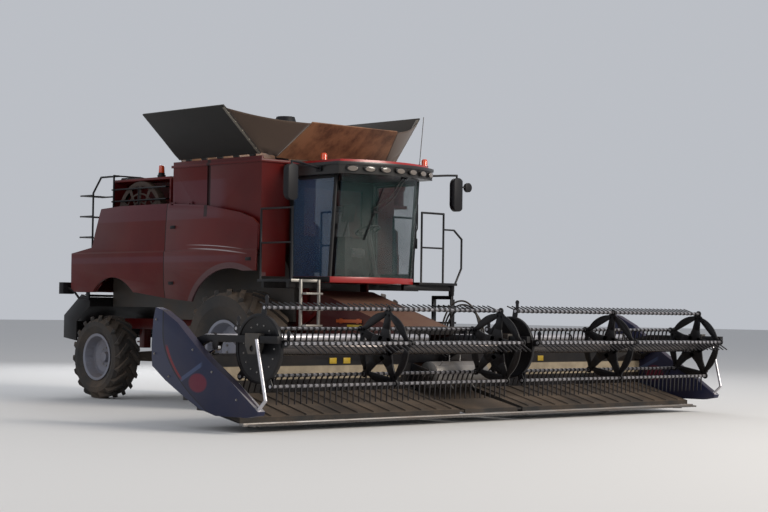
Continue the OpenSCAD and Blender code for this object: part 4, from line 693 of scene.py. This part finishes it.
# %% Wheel bolts
for node in ("rim_front_left", "rim_front_right", "rim_rear_left", "rim_rear_right"):
    low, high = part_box(node)
    middle = (low + high) / 2
    out = Vector((0.0, 1.0 if "left" in node else -1.0, 0.0))
    ring = bmesh.new()
    count, ring_radius, size = (12, 0.205, 0.019) if "front" in node else (10, 0.150, 0.016)
    for k in range(count):
        bolt_turn = 2 * math.pi * (k + 0.5) / count
        bolt_way = Vector((math.cos(bolt_turn), 0.0, math.sin(bolt_turn)))
        place, _ = touch(node, middle + bolt_way * ring_radius + out * 2.0, -out)
        add_bolt(ring, place, out, size)
    soften(ring, 0.001, 1)
    finished(node.replace("rim", "wheel_bolts"), ring, bare_steel, body_of[node])

# %% Latches of the side panels: a paddle in its dish
for side, panel in ((1, "left"), (-1, "right")):
    latches = bmesh.new()
    for x, z in ((-1.50, 1.95), (-1.50, 2.85), (0.46, 2.32)):
        for size, lift in (((0.13, 0.05, 0.010), 0.003), ((0.091, 0.03, 0.012), 0.012)):
            set_block(latches, f"side_panel_{panel}", spot(x, 4.0 * side, z), (0.0, -side, 0.0), size, lift)
    finished(f"panel_latches_{panel}", latches, dark_plastic, f"panel_{panel}", soft=0.003)

# %% Rear of the hood: louvres, lamps and a blank plate
forward = Vector((1.0, 0.0, 0.0))
louvres = bmesh.new()
for k in range(9):
    set_block(louvres, "rear_hood", spot(-8.0, 0.0, 2.02 + 0.055 * k), forward, (1.30, 0.028, 0.014), 0.004)
finished("rear_louvres", louvres, dark_plastic, "root", soft=0.003)
rear_lamps = bmesh.new()
for y in (-0.86, -0.99, 0.86, 0.99):
    place, normal = touch("rear_hood", spot(-8.0, y, 2.12), forward)
    add_round(rear_lamps, place + normal * 0.006, normal, 0.055, 0.022, tip=0.045)
finished("rear_lamps", rear_lamps, lens_red, "root", soft=0.003)
rear_plate = bmesh.new()
set_block(rear_plate, "spreader_housing", spot(-8.0, 0.0, 1.30), forward, (0.50, 0.12, 0.006), 0.004)
finished("rear_plate", rear_plate, cover_edge, "root", soft=0.0015)

# %% Screen and lever beside the seat
cab_kit = bmesh.new()
console, _ = touch("cab_interior", spot(1.34, -0.36, 3.5), -upward)
arm_stops = [console + Vector(move) for move in ((0.0, 0.0, 0.0), (0.05, 0.02, 0.20), (0.09, 0.02, 0.30))]
add_tube(cab_kit, arm_stops, 0.014)
add_block(cab_kit, console + Vector((0.09, 0.02, 0.36)), (0.20, 0.27, 0.03), (-1.0, 0.25, 0.25))
add_tube(cab_kit, [console + Vector((-0.18, 0.0, 0.0)), console + Vector((-0.17, 0.0, 0.14))], 0.011)
add_round(cab_kit, console + Vector((-0.17, 0.0, 0.17)), (0.1, 0.0, 1.0), 0.030, 0.09, tip=0.024)
finished("cab_kit", cab_kit, dark_plastic, "root", soft=0.004)

# %% Door handle and grab bar
door_kit = bmesh.new()
handle, outward = touch("cab_door", spot(1.58, 3.0, 2.62), (0.0, -1.0, 0.0))
add_block(door_kit, handle + outward * 0.012, (0.035, 0.16, 0.024), outward)
bar_stops = ((0.01, 0.20), (0.06, 0.24), (0.06, 0.62), (0.01, 0.66))  # out from the door and up
add_tube(door_kit, [handle + outward * gap + upward * lift for gap, lift in bar_stops], 0.011)
finished("door_kit", door_kit, cab_trim, "door", soft=0.002)

# %% Bolts on the shields and on the reel's end plates
shield_bolts = ((2.56, 1.40), (2.53, 0.95), (2.85, 0.66), (3.35, 1.02), (3.75, 0.75), (4.25, 0.42))
plate_count, plate_ring = 15, 0.30
for side in (-1, 1):
    heads = bmesh.new()
    for x, z in shield_bolts:
        place, normal = touch("end_shields", spot(x, 8.0 * side, z), (0.0, -side, 0.0))
        add_bolt(heads, place, normal, 0.014)
    finished(f"shield_bolts_{'left' if side > 0 else 'right'}", heads, bare_steel, "feeder")
plate_bolts = bmesh.new()
for side in (-1, 1):
    for k in range(plate_count):
        bolt_turn = 2 * math.pi * k / plate_count
        reach = Vector((math.cos(bolt_turn) * plate_ring, 8.0 * side, math.sin(bolt_turn) * plate_ring))
        place, normal = touch("reel_frame", reel_axis + reach, (0.0, -side, 0.0))
        add_bolt(plate_bolts, place, normal, 0.011)
finished("reel_plate_bolts", plate_bolts, bare_steel, "reel")

# %% Reflectors on the header's upper tube
reflectors = bmesh.new()
for y in (-2.18, -1.92, 1.92, 2.18):
    set_block(reflectors, "header_frame", spot(6.0, y, 0.85), -forward, (0.13, 0.08, 0.012), 0.004)
finished("header_reflectors", reflectors, signal_yellow, "feeder", soft=0.002)

# %% Hose coupler and its lever on the feeder house
coupler = bmesh.new()
lever = bmesh.new()
for shape, x, z, size, lift in (
    (coupler, 1.60, 1.39, (0.05, 0.075, 0.04), 0.016),
    (coupler, 1.98, 1.39, (0.05, 0.075, 0.04), 0.016),
    (coupler, 1.79, 1.39, (0.55, 0.05, 0.026), 0.035),
    (lever, 1.90, 1.32, (0.30, 0.035, 0.038), 0.018),
):
    set_block(shape, "feeder_house", spot(x, -3.0, z), (0.0, 1.0, 0.0), size, lift)
finished("hose_coupler", coupler, signal_orange, "feeder", soft=0.004)
finished("coupler_lever", lever, signal_yellow, "feeder", soft=0.004)

# %% [markdown]
# ## Reel
# The stars of the reel are thick plates with small windows, and each steel finger is clipped
# round its tube with a black collar, which is why the tubes look dotted. The webs are straight
# bars and wedges laid over the stars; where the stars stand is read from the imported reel.

# %% Where the stars stand
star_reach, star_plate = 0.55, 0.020
frame_verts = nodes["reel_frame"].data.vertices
tip_ys = sorted({round(v.co.y, 4) for v in frame_verts if from_axis(v.co, reel_axis) > star_reach})
sides_of_plates = [pair for pair in zip(tip_ys, tip_ys[1:]) if abs(pair[1] - pair[0] - star_plate) < 0.001]
star_ys = [(low + high) / 2 for low, high in sides_of_plates]
print("stars at", [round(y, 2) for y in star_ys])

# %% Webs of the reel's stars
web_thickness = 0.025


def add_plate(shape, centre, along, length, wide, end_wide):
    """Adds a flat plate in the plane of a star, which tapers along its length."""
    across_plate = Vector((along.z, 0.0, -along.x))
    place = Matrix.Translation(centre) @ Matrix((across_plate, (0.0, 1.0, 0.0), along)).transposed().to_4x4()
    made = bmesh.ops.create_cube(shape, size=1.0)["verts"]
    bmesh.ops.scale(shape, vec=(end_wide / wide, 1.0, 1.0), verts=[v for v in made if v.co.z > 0])
    bmesh.ops.transform(shape, matrix=place @ Matrix.Diagonal((wide, web_thickness, length, 1.0)), verts=made)


webs = bmesh.new()
for y in star_ys:
    hub = Vector((reel_axis.x, y, reel_axis.z))
    for i in range(bat_count):
        arm, next_arm = bat_way(i), bat_way(i + 1)
        middle = (arm + next_arm) / 2
        along = (next_arm - arm).normalized()
        add_plate(webs, hub + middle * bat_circle - middle.normalized() * 0.026, along, 0.50, 0.07, 0.07)
        add_plate(webs, hub + arm * 0.17, arm, 0.18, 0.26, 0.14)
        add_plate(webs, hub + arm * 0.36, arm, 0.21, 0.14, 0.09)
finished("reel_star_webs", webs, black_paint, "reel", soft=0.004)

# %% Collars that hold the fingers
finger_end, finger_gap = 0.22, 0.02
collar_radius, collar_length = 0.0265, 0.036
across = Vector((0.0, 1.0, 0.0))
for i in range(bat_count):
    bat_axis = reel_axis + bat_way(i) * bat_circle
    bat_verts = nodes[f"bat_{i + 1}"].data.vertices
    groups = []
    for y in sorted(v.co.y for v in bat_verts if from_axis(v.co, bat_axis) > finger_end):
        if not groups or y - groups[-1][-1] > finger_gap:
            groups.append([])
        groups[-1].append(y)
    collars = bmesh.new()
    for group in groups:
        middle = Vector((bat_axis.x, (group[0] + group[-1]) / 2, bat_axis.z))
        add_round(collars, middle, across, collar_radius, collar_length, sides=10)
    finished(f"bat_{i + 1}_collars", collars, tine_black, f"bat_{i + 1}")
    print("fingers on one bat:", len(groups))

# %% Polished tube behind the reel
tube_x, tube_z = 3.11, 1.165
cross_tube = bmesh.new()
for side in (-1, 1):
    add_round(cross_tube, spot(tube_x, side * 2.34, tube_z), across, 0.058, 4.08, sides=40)
finished("cross_tube", cross_tube, reel_silver, "feeder", soft=0.006)
brackets = bmesh.new()
for y in (-4.25, -2.9, -1.75, -0.50, 0.50, 1.75, 2.9, 4.25):
    foot, _ = touch("header_frame", spot(tube_x, y, 3.0), -upward)
    add_block(brackets, Vector((foot.x, y, (foot.z + tube_z) / 2)), (0.05, 0.016, tube_z - foot.z + 0.004))
    add_round(brackets, Vector((foot.x, y, tube_z)), across, 0.072, 0.024, sides=32)
    add_block(brackets, Vector((foot.x, y, foot.z + 0.005)), (0.12, 0.09, 0.014))
finished("cross_tube_brackets", brackets, black_paint, "feeder", soft=0.002)

# %% [markdown]
# ## Seat in the cab
# A seat is a foam pad under stretched cloth: it bulges between its edges and is flat below. Each
# pad starts as a block with round edges, is blown up a little as simulated cloth, and a cap on
# how far a point may move keeps it in the space that the frame leaves for it.

# %% Keep the last shape of a simulation
def still(piece, frames):
    """Runs the simulation on a piece and keeps its last shape."""
    for step in range(1, frames + 1):
        bpy.context.scene.frame_set(step)
    graph = bpy.context.evaluated_depsgraph_get()
    settled = bpy.data.meshes.new_from_object(piece.evaluated_get(graph))
    piece.modifiers.clear()
    piece.data = settled
    bpy.context.scene.frame_set(1)


# %% Take the plain seat off its pedestal
pedestal_top = 2.385
seat_rear, seat_front, seat_side = 0.77, 1.31, 0.27


def in_seat(place):
    """Whether a place lies in the upright block of air that the seat fills."""
    return seat_rear < place.x - axle_x < seat_front and abs(place.y) < seat_side


cabin = bmesh.new()
cabin.from_mesh(pieces["cab_interior"].data)
seat_faces = [f for f in cabin.faces if in_seat(f.calc_center_median())]
seat_parts = dict.fromkeys(part for f in seat_faces for part in (*f.verts, *f.edges, f))
cut = bmesh.ops.bisect_plane(cabin, geom=list(seat_parts), plane_co=(0.0, 0.0, pedestal_top),
                             plane_no=upward, clear_outer=True)
rim = [e for e in cut["geom_cut"] if isinstance(e, bmesh.types.BMEdge)]
bmesh.ops.holes_fill(cabin, edges=rim)
cabin.to_mesh(pieces["cab_interior"].data)
cabin.free()

# %% Pads of the seat
seat_cloth = Finish("seat_cloth", (0.030, 0.032, 0.036), roughness=0.9, Sheen_Weight=0.3)
thread_waves = 1400.0
weave = (seat_cloth.axis("X") * thread_waves).wave() * (seat_cloth.axis("Y") * thread_waves).wave()
seat_cloth.bump(weave, 0.25, 0.0008)
dusty(seat_cloth, 0.15)
pad_grain, pad_pressure, pad_frames = 0.014, 4.0, 16


def pad(name, centre, size, lean, swell=0.022):
    """A cushion of that size, which leans back and bulges by up to the swell."""
    shape = bmesh.new()
    place = Matrix.Translation(centre) @ Matrix.Rotation(lean, 4, "Y") @ Matrix.Diagonal((*size, 1.0))
    bmesh.ops.create_cube(shape, size=0.92, matrix=place)
    soften(shape, min(size) * 0.28, 4)
    piece = finished(name, shape, seat_cloth, "root", smooth_angle=60.0)
    remesh = piece.modifiers.new("remesh", "REMESH")
    remesh.voxel_size = pad_grain
    remesh.use_smooth_shade = True
    still(piece, 1)
    before = [v.co.copy() for v in piece.data.vertices]
    blow = piece.modifiers.new("blow", "CLOTH")
    blow.settings.use_pressure = True
    blow.settings.uniform_pressure_force = pad_pressure
    blow.settings.effector_weights.gravity = 0.0
    still(piece, pad_frames)
    for vert, old in zip(piece.data.vertices, before):
        move = vert.co - old
        if move.length > swell:
            vert.co = old + move.normalized() * swell


pad("seat_cushion", spot(1.05, 0.0, 2.45), (0.46, 0.46, 0.12), 0.0)
pad("seat_back", spot(0.85, 0.0, 2.82), (0.11, 0.44, 0.62), -0.12)
pad("seat_headrest", spot(0.80, 0.0, 3.13), (0.09, 0.26, 0.12), -0.12, 0.012)

# %% [markdown]
# ## Hydraulic hoses
# Three rubber hoses carry oil from the feeder house to the header. They need slack, because the
# header tilts, so they leave their block straight up, arch over and drop into the other block.
# The route's points are listed, and a smooth curve passes through them.

# %% Route of the hoses: forward, left, up, and how much lower the next hose lies
hose_from = spot(2.5, 0.63, 1.14)
hose_drop = -0.155
hose_pitch = 0.048
hose_radius = 0.014
hose_route = [
    (0.0, 0.0, 0.0, 0.0), (0.002, 0.004, 0.080, 0.004), (0.008, 0.011, 0.165, 0.010),
    (0.022, 0.022, 0.260, 0.020), (0.048, 0.036, 0.350, 0.031), (0.085, 0.054, 0.435, 0.040),
    (0.135, 0.076, 0.508, 0.047), (0.198, 0.100, 0.556, 0.053), (0.268, 0.124, 0.578, 0.057),
    (0.340, 0.150, 0.574, 0.059), (0.408, 0.174, 0.540, 0.058), (0.468, 0.196, 0.480, 0.054),
    (0.515, 0.213, 0.398, 0.047), (0.548, 0.228, 0.300, 0.037), (0.568, 0.240, 0.190, 0.025),
    (0.577, 0.247, 0.080, 0.013), (0.580, 0.250, -0.040, 0.004), (0.580, 0.250, hose_drop, 0.0),
]
print("points of a hose:", len(hose_route))

# %% Hoses and their crimped fittings
crimp = dusted("crimp", (0.42, 0.36, 0.22), 0.3, dust=0.5, metallic=0.9)
for i in range(3):
    points = [hose_from + Vector((x, y + hose_pitch * i, z - lower * i)) for x, y, z, lower in hose_route]
    curve = line_through(f"hose_{i + 1}", points, hose_radius, "BEZIER")
    curve.materials.append(belt_rubber.material)
    hose = show(f"hose_{i + 1}", curve)
    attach(hose, "feeder")
    fitting = bmesh.new()
    for end, beside in ((points[0], points[1]), (points[-1], points[-2])):
        along = (beside - end).normalized()
        add_round(fitting, end + along * 0.012, along, 0.023, 0.024, sides=6)
        add_round(fitting, end + along * 0.050, along, 0.018, 0.052, sides=20)
    fitting = finished(f"hose_fitting_{i + 1}", fitting, crimp, "feeder", soft=0.0015)
    if i == 0:
        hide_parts("hoses")

# %% [markdown]
# ## Corner sheets
# The four covers of the grain tank swing outwards, and rubberised cloth closes the gaps at the
# corners. Each sheet starts as a grid between its four corners, is held along the two covers,
# and hangs for a few frames as simulated cloth, so that it sags between them.

# %% Separate solids of a node
def loose_solids(shape):
    """The vertices of each solid, found by walking along the edges."""
    solids = []
    left = set(shape.verts)
    while left:
        solid, edge = set(), [left.pop()]
        while edge:
            vert = edge.pop()
            solid.add(vert)
            near = {e.other_vert(vert) for e in vert.link_edges} & left
            left -= near
            edge.extend(near)
        solids.append(solid)
    return solids


# %% Corners of the sheets
sheet_plate = 0.006


def sheet_corners(node):
    """For each thin solid, its corners: side low, side high, end high, end low."""
    shape = bmesh.new()
    shape.from_mesh(nodes[node].data)
    bmesh.ops.remove_doubles(shape, verts=shape.verts, dist=0.00001)
    sheets = []
    for solid in loose_solids(shape):
        corners = []
        for vert in sorted(solid, key=lambda v: tuple(v.co)):
            twin = next((c for c in corners if (c[0] - vert.co).length < sheet_plate), None)
            if twin:
                twin.append(vert.co.copy())
            else:
                corners.append([vert.co.copy()])
        middles = sorted((sum(c, Vector()) / len(c) for c in corners), key=lambda c: c.z)
        low, high = middles[:2], middles[2:]
        side_low, end_low = sorted(low, key=lambda c: min(abs(c.x - h.x) for h in high))
        side_high, end_high = sorted(high, key=lambda h: abs(h.x - side_low.x))
        sheets.append([side_low, side_high, end_high, end_low])
    shape.free()
    return sorted(sheets, key=lambda corners: (corners[0].y > 0, corners[0].x > 0))


# %% Edge strips of the side covers
sheets = sheet_corners("corner_sheets")
for side_low, side_high, _, _ in sheets:
    if side_high.x < 0:
        continue
    side = "right" if side_high.y < 0 else "left"
    along = (side_high - side_low).normalized()
    strip = bmesh.new()
    middle = (side_low + side_high) / 2 - Vector((0.030, 0.0, 0.0))
    add_block(strip, middle, (0.050, 0.034, (side_high - side_low).length * 1.05), along)
    for k in range(5):
        rib = side_low.lerp(side_high, 0.1 + 0.2 * k) - Vector((0.030, 0.0, 0.0))
        add_block(strip, rib, (0.058, 0.040, 0.020), along)
    finished(f"cover_strip_{side}", strip, cover_edge, f"cover_{side}", soft=0.003)

# %% Cloth of one sheet
sheet_grain = 18
sag, ripple = 0.035, 0.012


def sheet_cloth(corners):
    """A grid between the corners, which sags a little, and the points held along its edges."""
    side_low, side_high, end_high, end_low = corners
    cloth = bmesh.new()
    bmesh.ops.create_grid(cloth, x_segments=sheet_grain, y_segments=sheet_grain, size=0.5)
    across_sheet = (side_high - end_low).cross(end_high - side_low).normalized()
    if across_sheet.z < 0:
        across_sheet.negate()
    held = []
    for vert in cloth.verts:
        u, v = vert.co.x + 0.5, vert.co.y + 0.5
        if u < 0.01 or u > 0.99 or v < 0.01:
            held.append(vert.index)
        low_point = side_low.lerp(end_low, u)
        high_point = side_high.lerp(end_high, u)
        fold = sag * math.sin(math.pi * u) * (0.3 + v)
        fold += ripple * math.sin(5 * math.pi * u) * math.sin(math.pi * u)
        vert.co = low_point.lerp(high_point, v) - across_sheet * fold
    return cloth, held


def hang(piece):
    """Lets a sheet hang as cloth for a few frames from the points that are pinned."""
    cloth = piece.modifiers.new("hang", "CLOTH")
    cloth.settings.quality = 6
    cloth.settings.mass = 0.4
    cloth.settings.tension_stiffness = 40
    cloth.settings.compression_stiffness = 40
    cloth.settings.bending_stiffness = 2
    cloth.settings.vertex_group_mass = "pins"
    cloth.collision_settings.use_collision = False
    still(piece, 14)


# %% Hang the sheets
for number, corners in enumerate(sheets, 1):
    side_low, side_high, end_high, end_low = corners
    name = f"corner_sheet_{number}"
    cloth, held = sheet_cloth(corners)
    mesh = bpy.data.meshes.new(name)
    cloth.to_mesh(mesh)
    cloth.free()
    mesh.materials.append(sheet_fabric.material)
    sheet_piece = show(name, mesh)
    sheet_piece.vertex_groups.new(name="pins").add(held, 1.0, "REPLACE")
    hang(sheet_piece)
    sheet_piece.data.polygons.foreach_set("use_smooth", [True] * len(sheet_piece.data.polygons))
    thick = sheet_piece.modifiers.new("thick", "SOLIDIFY")
    thick.thickness = 0.003
    thick.offset = 0.0
    side_cover = "cover_right" if side_high.y < 0 else "cover_left"
    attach(sheet_piece, side_cover)
    width = (side_high - end_high).length + (side_low - end_low).length
    (side_high - side_low).length
    side_edge = (side_high - side_low).normalized()
    side_middle = (side_low + side_high) / 2
    away = (end_low + end_high) / 2 - side_middle
    away -= side_edge * away.dot(side_edge)
    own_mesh(sheet_piece)
    if number == 1:
        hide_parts("corner_sheets")

# %% [markdown]
# ## Floor and light
# A plain pale floor and three large soft lamps. The strongest one stands ahead of the machine
# and high up, so that the fronts are brighter than the sides, as in the photograph.

# %% Floor
floor_shape = bmesh.new()
bmesh.ops.create_grid(floor_shape, x_segments=1, y_segments=1, size=150.0)
floor_mesh = bpy.data.meshes.new("floor")
floor_shape.to_mesh(floor_mesh)
floor_shape.free()
floor_paint = Finish("floor_paint", (0.64, 0.63, 0.615), roughness=0.95)
floor_mesh.materials.append(floor_paint.material)
floor = show("floor", floor_mesh)

# %% Sky, with a plain backdrop where the camera, a reflection or the glass looks at it
world = bpy.data.worlds.new("sky")
world.use_nodes = True
bpy.context.scene.world = world
sky_tree = world.node_tree
new_node, link = sky_tree.nodes.new, sky_tree.links.new
sky = sky_tree.nodes["Background"]
sky.inputs["Color"].default_value = (0.80, 0.84, 0.92, 1.0)
sky.inputs["Strength"].default_value = 0.55
backdrop = new_node("ShaderNodeBackground")
backdrop.inputs["Color"].default_value = (0.50, 0.52, 0.56, 1.0)
which_ray = new_node("ShaderNodeLightPath")
sky_mix = new_node("ShaderNodeMixShader")
seen_by = which_ray.outputs["Is Camera Ray"]
for ray in ("Is Glossy Ray", "Is Transmission Ray"):
    either = new_node("ShaderNodeMath")
    either.operation = "MAXIMUM"
    link(seen_by, either.inputs[0])
    link(which_ray.outputs[ray], either.inputs[1])
    seen_by = either.outputs[0]
link(seen_by, sky_mix.inputs[0])
link(sky.outputs[0], sky_mix.inputs[1])
link(backdrop.outputs[0], sky_mix.inputs[2])
link(sky_mix.outputs[0], sky_tree.nodes["World Output"].inputs["Surface"])

# %% Lamps: name, place, what it points at, width, watts and colour
lamps = [
    ("front_lamp", (28.0, 8.0, 17.0), (0.5, 0.0, 1.8), 14.0, 8700.0, (1.0, 0.93, 0.84)),
    ("side_lamp", (2.0, -20.0, 10.0), (0.0, 0.0, 1.8), 12.0, 500.0, (0.93, 0.96, 1.0)),
    ("rear_lamp", (-14.0, 10.0, 10.0), (-1.0, 0.0, 2.0), 10.0, 1200.0, (0.95, 0.97, 1.0)),
]
for name, place, target, size, power, tint in lamps:
    lamp_data = bpy.data.lights.new(name, "AREA")
    lamp_data.shape = "DISK"
    lamp_data.size = size
    lamp_data.energy = power
    lamp_data.color = tint
    lamp = show(name, lamp_data)
    lamp.location = place
    lamp.rotation_euler = (Vector(target) - Vector(place)).to_track_quat("-Z", "Y").to_euler()
